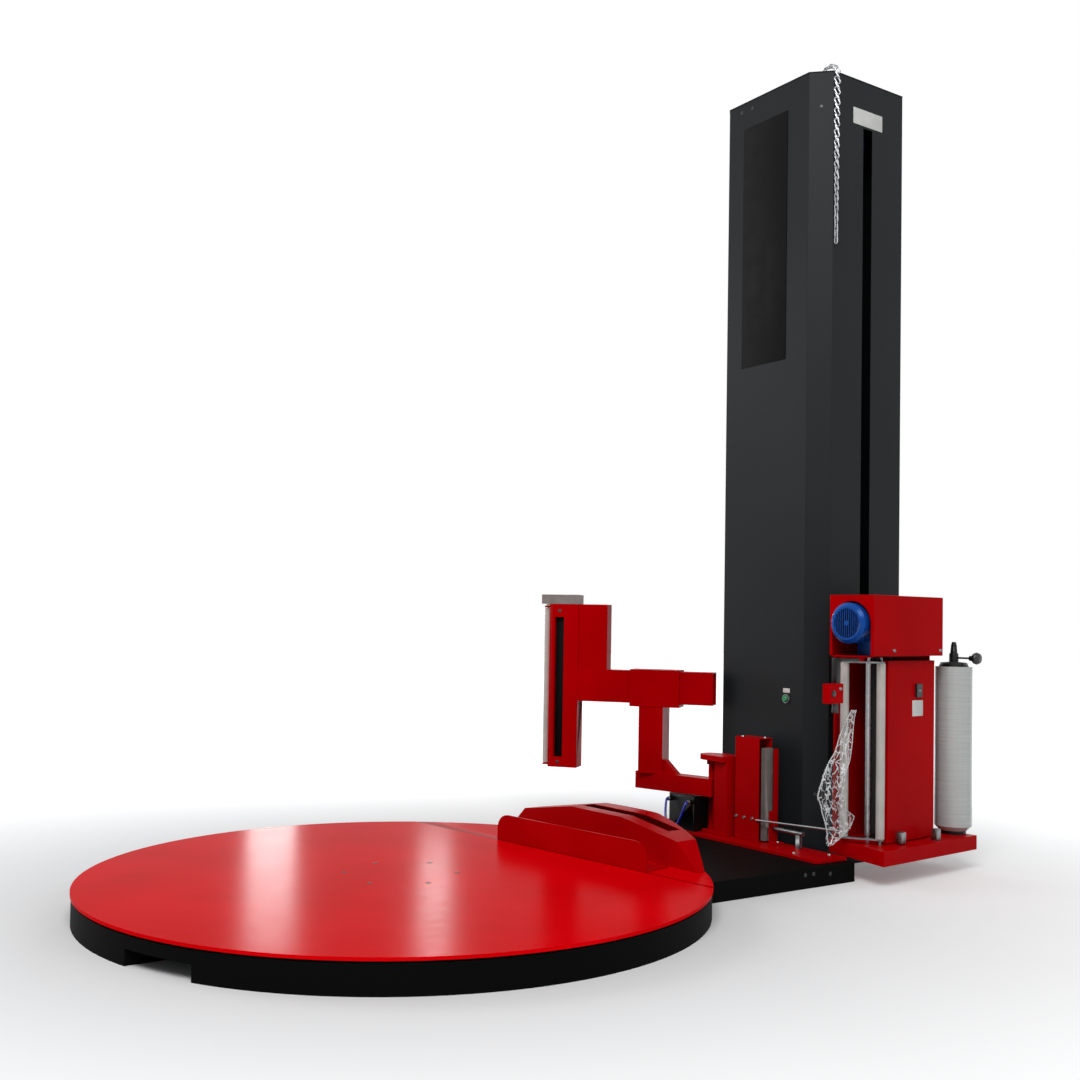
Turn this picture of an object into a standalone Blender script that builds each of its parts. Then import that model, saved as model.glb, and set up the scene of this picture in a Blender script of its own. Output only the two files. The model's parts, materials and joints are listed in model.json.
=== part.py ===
"""Turntable pallet wrapper: a driven turntable in a low ring, a bridge plate to a tall mast, a film
carriage that climbs the mast, and a swinging wiper arm with a film clamp beside it.

Metres, +Z up. The origin is on the floor under the turntable's axis, +X points to the mast.
"""

from math import acos, atan2, cos, hypot, pi, radians, sin

import bmesh
import bpy
from mathutils import Matrix

# ---- Clearances ----
GAP = 0.0003
RUNNING_GAP = 0.0005

# ---- Turntable ----
DISC_RADIUS = 0.825
DISC_THICKNESS = 0.008
DISC_TOP = 0.080
DISC_HOLE_RADIUS = 0.008
DISC_HOLE_CIRCLE = 0.150
DISC_HOLES = 6
RING_RADIUS = 0.822
RING_WALL = 0.006
RING_HEIGHT = 0.067
POCKET_Y = 0.3265
POCKET_WIDTH = 0.189
POCKET_HEIGHT = 0.038
CHANNEL_WALL = 0.003
CHANNEL_LENGTH = 0.62
BEAM_LOW = 0.004
BEAM_HIGH = 0.028
BEAM_WIDTH = 0.050
SIDE_BEAM_Y = 0.490
HUB_RADIUS = 0.070
SPINDLE_RADIUS = 0.020
ROLLER_RADIUS = 0.020
ROLLER_WIDTH = 0.018
ROLLER_AXLE_RADIUS = 0.004
EAR_THICKNESS = 0.005
TABLE_SPROCKET_RADIUS = 0.160
SPROCKET_LOW = 0.036
SPROCKET_HIGH = 0.048
CHAIN_RADIUS = 0.005
SEAT_DEPTH = 0.0005
SEAT_TOP = DISC_TOP - SEAT_DEPTH

# ---- Fence and hood on the disc ----
FENCE_LENGTH = 0.625
FENCE_HEIGHT = 0.080
FENCE_SHEET = 0.005
FENCE_FOOT = 0.095
FENCE_YAW = radians(7.6)
FENCE_CENTRE = (0.534, -0.018)
FENCE_CORNER = 0.045
HOOD_YAW = radians(2.8)
HOOD_FRONT_X = 0.670
HOOD_HALF_LENGTH = 0.435
HOOD_SHOULDER = 0.355
HOOD_CREST = 0.120
HOOD_SHOULDER_Z = 0.152
HOOD_CREST_Z = 0.188
HOOD_SHEET = 0.003
HOOD_SLOT_X = (0.716, 0.764)
HOOD_SLOT_Y = (-0.270, 0.140)

# ---- Bridge, clamp plate and mast foot ----
DECK_END = 1.285
DECK_HALF_WIDTH = 0.430
DECK_TOP = 0.057
DECK_SHEET = 0.005
CHAIN_WINDOW_HALF = 0.105
PLATE_X = (1.158, 1.284)
PLATE_Y = (-0.400, 0.410)
PLATE_THICKNESS = 0.011
PLATE_CORNER = 0.012

# ---- Mast ----
MAST_FRONT = 1.320
MAST_REAR = 1.706
MAST_HALF_WIDTH = 0.240
MAST_HEIGHT = 2.530
MAST_CHAMFER = 0.0555
MAST_SHEET = 0.003
MAST_CAP = 0.003
SLOT_X = (1.5150, 1.5585)
SLOT_Z = (0.120, 2.379)
DOOR_MARGIN = 0.030
DOOR_Z = (0.130, 2.300)
DOOR_LAP = 0.010                # how far the mast's rear edge covers the door's top and bottom
DOOR_SHEET = 0.003
BUTTON_Y = -0.112
BUTTON_Z = 0.520
BUTTON_RADIUS = 0.011
RAIL_X = (1.511, 1.570)
RAIL_Y = (-0.175, -0.145)
LIFT_CHAIN_X = 1.5406
LIFT_CHAIN_Y = (-0.118, -0.018)
LIFT_SPROCKET_Z = (0.180, 2.400)

# ---- Film carriage, in its own frame: x along its front, y towards the mast ----
CARRIAGE_CORNER = (1.265, -0.555)
CARRIAGE_YAW = radians(5.5)
CARRIAGE_LOW = 0.065
CARRIAGE_TOP = 0.109
CARRIAGE_LENGTH = 0.494
CARRIAGE_DEPTH = 0.245
CARRIAGE_SLANT = 0.070
CARRIAGE_SHEET = 0.003
HOUSING_X = (-0.002, 0.361)
HOUSING_Y = (0.040, 0.195)
HOUSING_Z = (0.669, 0.849)
HOUSING_SHEET = 0.003
SHELF_TOP = HOUSING_Z[0] - GAP
SHELF_LOW = SHELF_TOP - 0.005
MOTOR_Y = 0.1175
MOTOR_RADIUS = 0.0605
MOTOR_PROUD = 0.024
MOTOR_CLEARANCE = 0.0075
ARCH_RADIUS = MOTOR_RADIUS + MOTOR_CLEARANCE
ARCH_BRIDGE = 0.019              # sheet left over the arch, below the housing's top
ARCH_RISE = 0.003                # how far the motor sits above the arch's centre
MOTOR_Z = HOUSING_Z[1] - ARCH_BRIDGE - ARCH_RADIUS + ARCH_RISE
DOOR_X = (0.106, 0.350)
DOOR_FRONT = 0.062
DOOR_HINGE_INSET = 0.006
LATCH_Z = 0.571
GUIDE_ROLLER = (0.084, 0.072)
DANCER_ROLLER = (0.034, 0.165)
STEEL_ROLLER = (0.105, 0.130)
COVERED_ROLLER_RADIUS = 0.013
STEEL_ROLLER_RADIUS = 0.0095
PRESTRETCH_RADIUS = 0.030
PRESTRETCH_AXES = ((0.165, 0.150), (0.240, 0.150))
ROLLER_Z = (0.128, 0.646)
DANCER_SHAFT_RADIUS = 0.0045
DANCER_LINK = 0.005
FILM_AXIS = (0.468, 0.068)
FILM_RADIUS = 0.057
FILM_Z = (0.1205, 0.634)
CORE_RADIUS = 0.0255
TAIL_DEPTH = 0.022

# ---- Wiper arm ----
PIVOT = (1.218, 0.122)
ARM_YAW = radians(104)
ARM_REACH = 0.245
ARM_Z = (0.187, 0.245)
ARM_HALF_WIDTH = 0.028
HEAD_YAW = radians(24)
ACTUATOR_LOW = (1.165, 0.150)
ACTUATOR_HIGH = (1.235, 0.275, 0.184)
PORT_Y = (0.162, 0.262)
PORT_Z = 0.165
PORT_LENGTH = 0.012
HOSE_RADIUS = 0.004
HOSE_REACH = 0.030
HOSE_DROP = 0.092
HOSE_STEPS = 18
HOSE_STRAIGHT = 0.006

# ---- Film clamp ----
CLAMP_X = (1.215, 1.273)
CLAMP_Y = (-0.098, 0.010)
CLAMP_TOP = 0.395
CLAMP_SHEET = 0.003
BAR_X = 0.0360
BAR_HALF = (0.0175, 0.008)
BAR_LOW = 0.073
BAR_HIGH = 0.364
BAR_TRAVEL = 0.019
ANVIL_X = (0.036, 0.053)
ANVIL_TAB_X = 0.018
ANVIL_TAB_TOP = 0.1695
ANVIL_SHEET = 0.006
ROD_Z = 0.115
ROD_RADIUS = 0.004
CYLINDER_RADIUS = 0.0075
CYLINDER_END = 0.157
GUIDE_ROD_YAW = radians(-73.3)
GUIDE_ROD_LENGTH = 0.283
GUIDE_ROD_RADIUS = 0.0035
GUIDE_ROD_Z = 0.1385

# ---- Wiper arm's column and head ----
SHAFT_TOP = 0.3084
COLUMN_LOW = (-0.042, -0.075)
COLUMN_HIGH = (0.042, 0.040)
SLEEVE_X = (-0.098, 0.075)
SLEEVE_Z = (0.468, 0.595)
TUBE_X = (-0.212, 0.264)
TUBE_Z = (0.479, 0.590)
TUBE_HALF_WIDTH = 0.033
TUBE_WALL = 0.004
HEAD_X = (0.2645, 0.368)
HEAD_Z = (0.246, 0.816)
HEAD_BOX_X = (0.160, 0.2645)
HEAD_BOX_Z = (0.5903, 0.816)
HEAD_CAP_X = (0.265, 0.398)
HEAD_CAP_TOP = 0.849
WIPER_ROLLER_X = 0.384
WIPER_ROLLER_RADIUS = 0.0125


# ---- Scene and helpers ----
def clear_scene():
    for obj in list(bpy.data.objects):
        bpy.data.objects.remove(obj, do_unlink=True)


def new_collection(name):
    collection = bpy.data.collections.new(name)
    bpy.context.scene.collection.children.link(collection)
    return collection


clear_scene()
PARTS = new_collection("turntable_pallet_wrapper")
CUTTERS = new_collection("cutters")
CUTTERS.hide_render = True


def paint(name, colour, roughness, metallic=0.0):
    made = bpy.data.materials.new(name)
    made.use_nodes = True
    shader = made.node_tree.nodes["Principled BSDF"]
    shader.inputs["Base Color"].default_value = (*colour, 1.0)
    shader.inputs["Roughness"].default_value = roughness
    shader.inputs["Metallic"].default_value = metallic
    return made


RED = paint("signal_red_enamel", (0.62, 0.01, 0.01), 0.25)
DISC_RED = paint("turntable_red_enamel", (0.70, 0.012, 0.012), 0.15)
ANTHRACITE = paint("anthracite_powder_coat", (0.032, 0.036, 0.038), 0.45)
BLACK = paint("black_powder_coat", (0.012, 0.012, 0.013), 0.5)
BLUE = paint("motor_blue_enamel", (0.01, 0.09, 0.32), 0.3)
STEEL = paint("ground_steel", (0.55, 0.55, 0.56), 0.3, 1.0)
ZINC = paint("zinc_plate", (0.50, 0.51, 0.52), 0.4, 1.0)
RUBBER = paint("grey_rubber", (0.45, 0.44, 0.42), 0.6)
DARK_RUBBER = paint("black_rubber", (0.02, 0.02, 0.02), 0.7)
FILM = paint("stretch_film", (0.72, 0.76, 0.77), 0.25)
HOSE_BLUE = paint("polyurethane_blue", (0.01, 0.02, 0.35), 0.2)
GREEN = paint("button_green", (0.0, 0.25, 0.09), 0.3)
STOP_RED = paint("button_red", (0.5, 0.0, 0.0), 0.3)
GREY_PLASTIC = paint("grey_plastic", (0.20, 0.20, 0.21), 0.5)


def frame(name, place, yaw=0.0, parent=None):
    """An empty that carries pieces; each moving body's empty stands on its joint's axis."""
    empty = bpy.data.objects.new(name, None)
    empty.empty_display_size = 0.05
    PARTS.objects.link(empty)
    empty.parent = parent
    empty.location = place
    empty.rotation_euler = (0.0, 0.0, yaw)
    return empty


WORLD = frame("machine_frame", (0.0, 0.0, 0.0))


def add(name, mesh, finish, carrier, helper=False):
    obj = bpy.data.objects.new(name, mesh)
    (CUTTERS if helper else PARTS).objects.link(obj)
    obj.parent = carrier
    if helper:
        obj.hide_render = True
        obj.display_type = "WIRE"
    if finish:
        mesh.materials.append(finish)
    return obj


def box(name, low, high, finish=None, carrier=WORLD, helper=False):
    size = [b - a for a, b in zip(low, high)]
    middle = [(a + b) / 2 for a, b in zip(low, high)]
    mesh = bpy.data.meshes.new(name)
    work = bmesh.new()
    bmesh.ops.create_cube(work, size=1.0, matrix=Matrix.Translation(middle) @ Matrix.Diagonal((*size, 1.0)))
    work.to_mesh(mesh)
    work.free()
    return add(name, mesh, finish, carrier, helper)


AXIS_TURNS = {
    "X": Matrix.Rotation(pi / 2, 4, "Y"),
    "Y": Matrix.Rotation(-pi / 2, 4, "X"),
    "Z": Matrix.Identity(4),
}


def cylinder(name, radius, start, length, axis="Z", finish=None, carrier=WORLD, helper=False, segments=32):
    """A round bar from the middle of its first end, along one axis of its carrier."""
    mesh = bpy.data.meshes.new(name)
    work = bmesh.new()
    turn = Matrix.Translation(start) @ AXIS_TURNS[axis] @ Matrix.Translation((0, 0, length / 2))
    bmesh.ops.create_cone(
        work, cap_ends=True, segments=segments, radius1=radius, radius2=radius, depth=length, matrix=turn
    )
    work.to_mesh(mesh)
    work.free()
    mesh.shade_smooth()
    mesh.set_sharp_from_angle(angle=radians(40))
    return add(name, mesh, finish, carrier, helper)


def turned(name, profile, place, finish=None, carrier=WORLD, axis="Z", segments=32, helper=False, closed=False):
    """A profile of (radius, height) points, top to bottom on its outer side, turned about an axis."""
    mesh = bpy.data.meshes.new(name)
    work = bmesh.new()
    points = [work.verts.new((radius, 0.0, height)) for radius, height in profile]
    for first, second in zip(points, points[1:]):
        work.edges.new((first, second))
    if closed:
        work.edges.new((points[-1], points[0]))
    work.to_mesh(mesh)
    work.free()
    obj = add(name, mesh, finish, carrier, helper)
    screw = obj.modifiers.new("turn", "SCREW")
    screw.steps = segments
    screw.render_steps = segments
    screw.use_merge_vertices = True
    screw.merge_threshold = 0.00001
    obj.matrix_local = Matrix.Translation(place) @ AXIS_TURNS[axis]
    return obj


def as_mesh(obj, finish, carrier, helper=False):
    """The curve's shape as a closed mesh object in its place."""
    bpy.context.view_layer.update()
    graph = bpy.context.evaluated_depsgraph_get()
    mesh = bpy.data.meshes.new_from_object(obj.evaluated_get(graph))
    name = obj.name
    place = obj.matrix_basis.copy()
    bpy.data.objects.remove(obj)
    work = bmesh.new()
    work.from_mesh(mesh)
    bmesh.ops.remove_doubles(work, verts=work.verts, dist=0.00002)
    bmesh.ops.recalc_face_normals(work, faces=work.faces)
    work.to_mesh(mesh)
    work.free()
    mesh.materials.clear()
    made = add(name, mesh, finish, carrier, helper)
    made.name = name
    made.matrix_local = place
    return made


PLANES = {
    "XY": Matrix.Identity(4),
    "YZ": Matrix(((0, 0, 1, 0), (1, 0, 0, 0), (0, 1, 0, 0), (0, 0, 0, 1))),
    "XZ": Matrix(((1, 0, 0, 0), (0, 0, -1, 0), (0, 1, 0, 0), (0, 0, 0, 1))),
}


def prism(name, outline, low, high, finish=None, carrier=WORLD, plane="XY", helper=False, holes=()):
    """A flat outline with a thickness, from low to high along the plane's normal."""
    curve = bpy.data.curves.new(name, "CURVE")
    curve.dimensions = "2D"
    curve.fill_mode = "BOTH"
    curve.extrude = (high - low) / 2
    for points in (outline, *holes):
        spline = curve.splines.new("POLY")
        spline.points.add(len(points) - 1)
        for point, (x, y) in zip(spline.points, points):
            point.co = (x, y, 0.0, 1.0)
        spline.use_cyclic_u = True
    obj = bpy.data.objects.new(name, curve)
    PARTS.objects.link(obj)
    obj.matrix_basis = PLANES[plane] @ Matrix.Translation((0, 0, (low + high) / 2))
    if plane == "XZ":
        obj.matrix_basis = PLANES[plane] @ Matrix.Translation((0, 0, -(low + high) / 2))
    return as_mesh(obj, finish, carrier, helper)


def tube(name, points, radius, finish, carrier=WORLD, cyclic=False, resolution=2):
    curve = bpy.data.curves.new(name, "CURVE")
    curve.dimensions = "3D"
    curve.bevel_depth = radius
    curve.bevel_resolution = resolution
    curve.use_fill_caps = True
    spline = curve.splines.new("POLY")
    spline.points.add(len(points) - 1)
    for point, place in zip(spline.points, points):
        point.co = (*place, 1.0)
    spline.use_cyclic_u = cyclic
    obj = bpy.data.objects.new(name, curve)
    PARTS.objects.link(obj)
    return as_mesh(obj, finish, carrier)


def combine(target, other, operation):
    step = target.modifiers.new(operation.lower(), "BOOLEAN")
    step.object = other
    step.operation = operation
    step.solver = "EXACT"


def cut(target, *others):
    for other in others:
        combine(target, other, "DIFFERENCE")


def join(target, *others):
    for other in others:
        combine(target, other, "UNION")


def arc(centre, radius, start, end, steps):
    """Points on an arc, angles in degrees."""
    turns = [radians(start + (end - start) * step / steps) for step in range(steps + 1)]
    return [(centre[0] + radius * cos(turn), centre[1] + radius * sin(turn)) for turn in turns]


def rounded(low, high, radius, steps=3):
    """A rectangle's outline with round corners."""
    x0, y0 = low
    x1, y1 = high
    corners = (
        (x1 - radius, y0 + radius, -90),
        (x1 - radius, y1 - radius, 0),
        (x0 + radius, y1 - radius, 90),
        (x0 + radius, y0 + radius, 180),
    )
    outline = []
    for x, y, start in corners:
        outline += arc((x, y), radius, start, start + 90, steps)
    return outline


def belt_path(first, first_radius, second, second_radius, steps=14):
    """The closed line round two wheels in one plane: two straight runs and two arcs."""
    reach = hypot(second[0] - first[0], second[1] - first[1])
    bearing = atan2(second[1] - first[1], second[0] - first[0])
    lean = acos((first_radius - second_radius) / reach)
    path = []
    for step in range(steps + 1):
        turn = bearing + lean + (2 * pi - 2 * lean) * step / steps
        path.append((first[0] + first_radius * cos(turn), first[1] + first_radius * sin(turn)))
    for step in range(steps + 1):
        turn = bearing - lean + 2 * lean * step / steps
        path.append((second[0] + second_radius * cos(turn), second[1] + second_radius * sin(turn)))
    return path


# ---- Fixed ring, frame and bridge ----
def build_base_ring():
    outline = arc((0, 0), RING_RADIUS, 0, 357, 119)
    inner = arc((0, 0), RING_RADIUS - RING_WALL, 0, 357, 119)
    ring = prism("base_ring", outline, 0.0, RING_HEIGHT, BLACK, holes=(inner,))
    for side in (-1, 1):
        low = side * POCKET_Y - POCKET_WIDTH / 2
        pocket = box(
            f"pocket_cut_{side}",
            (-RING_RADIUS - 0.01, low, -0.01),
            (-RING_RADIUS * 0.7, low + POCKET_WIDTH, POCKET_HEIGHT),
            helper=True,
        )
        cut(ring, pocket)
    window = box(
        "ring_window_cut",
        (RING_RADIUS - 0.03, -CHAIN_WINDOW_HALF, 0.012),
        (RING_RADIUS + 0.01, CHAIN_WINDOW_HALF, 0.052),
        helper=True,
    )
    cut(ring, window)


def build_fork_channels():
    for side, name in ((-1, "fork_channel_right"), (1, "fork_channel_left")):
        inner = POCKET_WIDTH / 2
        outer = inner + CHANNEL_WALL
        middle = side * POCKET_Y
        section = [
            (middle - outer, 0.001),
            (middle - inner, 0.001),
            (middle - inner, POCKET_HEIGHT),
            (middle + inner, POCKET_HEIGHT),
            (middle + inner, 0.001),
            (middle + outer, 0.001),
            (middle + outer, POCKET_HEIGHT + CHANNEL_WALL),
            (middle - outer, POCKET_HEIGHT + CHANNEL_WALL),
        ]
        start = -RING_RADIUS * 0.99
        channel = prism(name, section, start, start + CHANNEL_LENGTH, BLACK, plane="YZ")
        trim = cylinder(f"{name}_trim", RING_RADIUS - RING_WALL - GAP, (0, 0, -0.01), 0.1, helper=True, segments=120)
        combine(channel, trim, "INTERSECT")


def roller_places():
    reach = SIDE_BEAM_Y
    return [(sx * reach, sy * reach) for sx in (-1, 1) for sy in (-1, 1)]


def build_hub_frame():
    inner = RING_RADIUS - RING_WALL - GAP
    end = (inner**2 - (SIDE_BEAM_Y + BEAM_WIDTH / 2) ** 2) ** 0.5
    half = BEAM_WIDTH / 2
    hub = box("hub_frame", (-half, -inner + 0.002, BEAM_LOW), (half, inner - 0.002, BEAM_HIGH), BLACK)
    for side in (-1, 1):
        low = side * SIDE_BEAM_Y - half
        beam = box(f"side_beam_{side}", (-end, low, BEAM_LOW), (end, low + BEAM_WIDTH, BEAM_HIGH), helper=True)
        join(hub, beam)
    boss = cylinder("hub_boss", HUB_RADIUS, (0, 0, BEAM_LOW - 0.001), BEAM_HIGH - BEAM_LOW + 0.003, helper=True)
    foot = cylinder("hub_foot", HUB_RADIUS, (0, 0, 0.0), BEAM_HIGH, helper=True)
    spindle = cylinder("hub_spindle", SPINDLE_RADIUS, (0, 0, 0.01), 0.058, helper=True)
    join(hub, boss, foot, spindle)
    middle = DISC_TOP - DISC_THICKNESS - GAP - ROLLER_RADIUS
    for number, (x, y) in enumerate(roller_places(), 1):
        carrier = frame(f"roller_seat_{number}", (x, y, middle), atan2(y, x))
        for side in (-1, 1):
            start = side * (ROLLER_WIDTH / 2 + 0.001)
            ear = box(
                f"roller_ear_{number}_{side}",
                (min(start, start + side * EAR_THICKNESS), -0.014, BEAM_HIGH - 0.002 - middle),
                (max(start, start + side * EAR_THICKNESS), 0.014, 0.008),
                carrier=carrier,
                helper=True,
            )
            join(hub, ear)
        room = cylinder(
            f"roller_room_{number}", ROLLER_RADIUS + 0.002, (-ROLLER_WIDTH / 2 - 0.001, 0, 0), ROLLER_WIDTH + 0.002,
            "X", carrier=carrier, helper=True,
        )
        bore = cylinder(
            f"roller_bore_{number}", ROLLER_AXLE_RADIUS + GAP, (-0.03, 0, 0), 0.06, "X",
            carrier=carrier, helper=True, segments=16,
        )
        cut(hub, room, bore)


def build_support_rollers():
    middle = DISC_TOP - DISC_THICKNESS - GAP - ROLLER_RADIUS
    half = ROLLER_WIDTH / 2
    end = half + EAR_THICKNESS
    for number, (x, y) in enumerate(roller_places(), 1):
        profile = [
            (0.0, end),
            (ROLLER_AXLE_RADIUS, end),
            (ROLLER_AXLE_RADIUS, half),
            (ROLLER_RADIUS, half),
            (ROLLER_RADIUS, -half),
            (ROLLER_AXLE_RADIUS, -half),
            (ROLLER_AXLE_RADIUS, -end),
            (0.0, -end),
        ]
        carrier = frame(f"support_roller_axis_{number}", (x, y, middle), atan2(y, x))
        turned(f"support_roller_{number}", profile, (0, 0, 0), STEEL, carrier, axis="X", segments=24)


def build_deck_frame():
    start = RING_RADIUS * 0.80
    deck = box(
        "deck_frame", (start, -DECK_HALF_WIDTH, 0.0), (DECK_END, DECK_HALF_WIDTH, DECK_TOP), BLACK
    )
    hollow = box(
        "deck_hollow",
        (start - 0.01, -DECK_HALF_WIDTH + DECK_SHEET, -0.01),
        (DECK_END - DECK_SHEET, DECK_HALF_WIDTH - DECK_SHEET, DECK_TOP - DECK_SHEET),
        helper=True,
    )
    around = cylinder("deck_ring_cut", RING_RADIUS + GAP, (0, 0, -0.01), 0.1, helper=True, segments=120)
    window = box(
        "deck_window_cut",
        (DECK_END - 0.02, -CHAIN_WINDOW_HALF, 0.012),
        (DECK_END + 0.01, CHAIN_WINDOW_HALF, 0.048),
        helper=True,
    )
    cut(deck, hollow, around, window)


def build_clamp_plate():
    x0, x1 = PLATE_X
    y0, y1 = PLATE_Y
    outline = [
        (x0, y0 + PLATE_CORNER),
        (x0 + PLATE_CORNER, y0),
        (x1, y0),
        (x1, y1),
        (x0 + PLATE_CORNER, y1),
        (x0, y1 - PLATE_CORNER),
    ]
    prism("clamp_plate", outline, DECK_TOP + GAP, DECK_TOP + GAP + PLATE_THICKNESS, RED)


PLATE_TOP = DECK_TOP + GAP + PLATE_THICKNESS


# ---- Turntable, its hood and its fence ----
def build_disc():
    outline = arc((0, 0), DISC_RADIUS, 0, 357, 119)
    holes = []
    for number in range(DISC_HOLES):
        turn = radians(30 + 60 * number)
        place = (DISC_HOLE_CIRCLE * cos(turn), DISC_HOLE_CIRCLE * sin(turn))
        holes.append(arc(place, DISC_HOLE_RADIUS, 0, 315, 7))
    low = DISC_TOP - DISC_THICKNESS
    disc = prism("turntable_disc", outline, low, DISC_TOP, DISC_RED, carrier=TABLE, holes=holes)
    seat = box("disc_seat", (-0.008, -1.0, SEAT_TOP), (0.7, 1.0, 0.1), carrier=FENCE_SEAT, helper=True)
    cut(disc, seat)


def build_table_sprocket():
    bore = SPINDLE_RADIUS + RUNNING_GAP
    top = DISC_TOP - DISC_THICKNESS - GAP
    profile = [
        (0.060, top),
        (0.060, SPROCKET_HIGH),
        (TABLE_SPROCKET_RADIUS - CHAIN_RADIUS - 0.001, SPROCKET_HIGH),
        (TABLE_SPROCKET_RADIUS - CHAIN_RADIUS - 0.001, SPROCKET_LOW),
        (bore, SPROCKET_LOW),
        (bore, top),
    ]
    turned("table_sprocket", profile, (0, 0, 0), STEEL, TABLE, segments=48, closed=True)


def hood_outline(inset):
    """Half the hood's front, from the crest down to the disc, mirrored to both sides."""
    half = [
        (HOOD_CREST - inset * 0.2, HOOD_CREST_Z - inset),
        (HOOD_SHOULDER - inset * 0.6, HOOD_SHOULDER_Z - inset),
        (HOOD_HALF_LENGTH - inset * 1.4, SEAT_TOP + GAP - (0.01 if inset else 0.0)),
    ]
    return [(-y, z) for y, z in reversed(half)] + half


def build_hood():
    seat = frame("hood_seat", (0.0, 0.0, 0.0), HOOD_YAW, TABLE)
    front = HOOD_FRONT_X
    hood = prism("end_hood", hood_outline(0.0), front, DISC_RADIUS, RED, seat, plane="YZ")
    rim = cylinder("hood_rim", DISC_RADIUS - 0.002, (0, 0, 0), 0.3, carrier=seat, helper=True, segments=120)
    combine(hood, rim, "INTERSECT")
    hollow = prism(
        "hood_hollow", hood_outline(HOOD_SHEET), front + HOOD_SHEET, DISC_RADIUS, None, seat, "YZ", helper=True
    )
    inner = DISC_RADIUS - 0.002 - HOOD_SHEET
    inside = cylinder("hood_inside", inner, (0, 0, 0), 0.3, carrier=seat, helper=True, segments=120)
    combine(hollow, inside, "INTERSECT")
    slot = box(
        "hood_slot",
        (HOOD_SLOT_X[0], HOOD_SLOT_Y[0], DISC_TOP + 0.03),
        (HOOD_SLOT_X[1], HOOD_SLOT_Y[1], 0.3),
        carrier=seat,
        helper=True,
    )
    cut(hood, hollow, slot)


def build_fence():
    carrier = FENCE_SEAT
    half = FENCE_LENGTH / 2
    low = SEAT_TOP + GAP
    wall_outline = [(-half, low), (half, low)]
    wall_outline += arc((half - FENCE_CORNER, low + FENCE_HEIGHT - FENCE_CORNER), FENCE_CORNER, 0, 90, 6)
    wall_outline += arc((-half + FENCE_CORNER, low + FENCE_HEIGHT - FENCE_CORNER), FENCE_CORNER, 90, 180, 6)
    fence = prism("pallet_fence", wall_outline, -FENCE_SHEET, 0.0, RED, carrier, plane="YZ")
    foot_outline = [
        (-FENCE_SHEET / 2, -half),
        (FENCE_FOOT, -half + 0.008),
        (FENCE_FOOT, half - 0.03),
        (-FENCE_SHEET / 2, half),
    ]
    foot = prism("fence_foot", foot_outline, low, low + FENCE_SHEET, None, carrier, helper=True)
    join(fence, foot)


# ---- Mast ----
def mast_outline(inset):
    """The mast's plan: the two front corners are chamfered, the back is open between its lips."""
    front = MAST_FRONT + inset
    side = MAST_HALF_WIDTH - inset
    chamfer = MAST_CHAMFER - inset * 0.41
    return [(front, -side + chamfer), (front + chamfer, -side), (MAST_REAR, -side)]


def build_mast():
    outer = mast_outline(0.0)
    inner = mast_outline(MAST_SHEET)
    lip = MAST_HALF_WIDTH - DOOR_MARGIN
    rear = MAST_REAR
    half_outer = outer + [(rear, -lip), (rear - MAST_SHEET, -lip)]
    half_inner = [(rear - MAST_SHEET, -MAST_HALF_WIDTH + MAST_SHEET)] + [(x, y) for x, y in reversed(inner[:2])]
    right = half_outer + half_inner
    left = [(x, -y) for x, y in reversed(right)]
    body = prism("mast_column", right + left, 0.0, MAST_HEIGHT, ANTHRACITE)
    slot = box(
        "mast_slot_cut", (SLOT_X[0], -MAST_HALF_WIDTH - 0.01, SLOT_Z[0]),
        (SLOT_X[1], -MAST_HALF_WIDTH + 0.01, SLOT_Z[1]), helper=True,
    )
    window = box(
        "mast_window_cut", (MAST_FRONT - 0.01, -CHAIN_WINDOW_HALF, 0.012),
        (MAST_FRONT + 0.01, CHAIN_WINDOW_HALF, 0.052), helper=True,
    )
    bore = cylinder(
        "button_bore", BUTTON_RADIUS + GAP, (MAST_FRONT - 0.01, BUTTON_Y, BUTTON_Z), 0.02, "X",
        helper=True, segments=24,
    )
    sill = box(
        "mast_sill", (rear - MAST_SHEET, -lip - 0.002, 0.0), (rear, lip + 0.002, DOOR_Z[0] + DOOR_LAP), helper=True
    )
    head = box(
        "mast_head", (rear - MAST_SHEET, -lip - 0.002, DOOR_Z[1] - DOOR_LAP), (rear, lip + 0.002, MAST_HEIGHT),
        helper=True,
    )
    floor = box(
        "mast_floor", (MAST_FRONT + 0.001, -MAST_HALF_WIDTH + MAST_CHAMFER, 0.0),
        (MAST_REAR - 0.001, MAST_HALF_WIDTH - MAST_CHAMFER, 0.006), helper=True,
    )
    cut(body, slot, window, bore)
    join(body, sill, head, floor)


def build_mast_cap():
    edge = 0.0015
    outline = [(x - edge if x < 1.5 else x, y - edge) for x, y in mast_outline(0.0)]
    outline[0] = (MAST_FRONT - edge, -MAST_HALF_WIDTH + MAST_CHAMFER)
    outline += [(x, -y) for x, y in reversed(outline)]
    prism("mast_cap", outline, MAST_HEIGHT + GAP, MAST_HEIGHT + GAP + MAST_CAP, ANTHRACITE)


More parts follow.
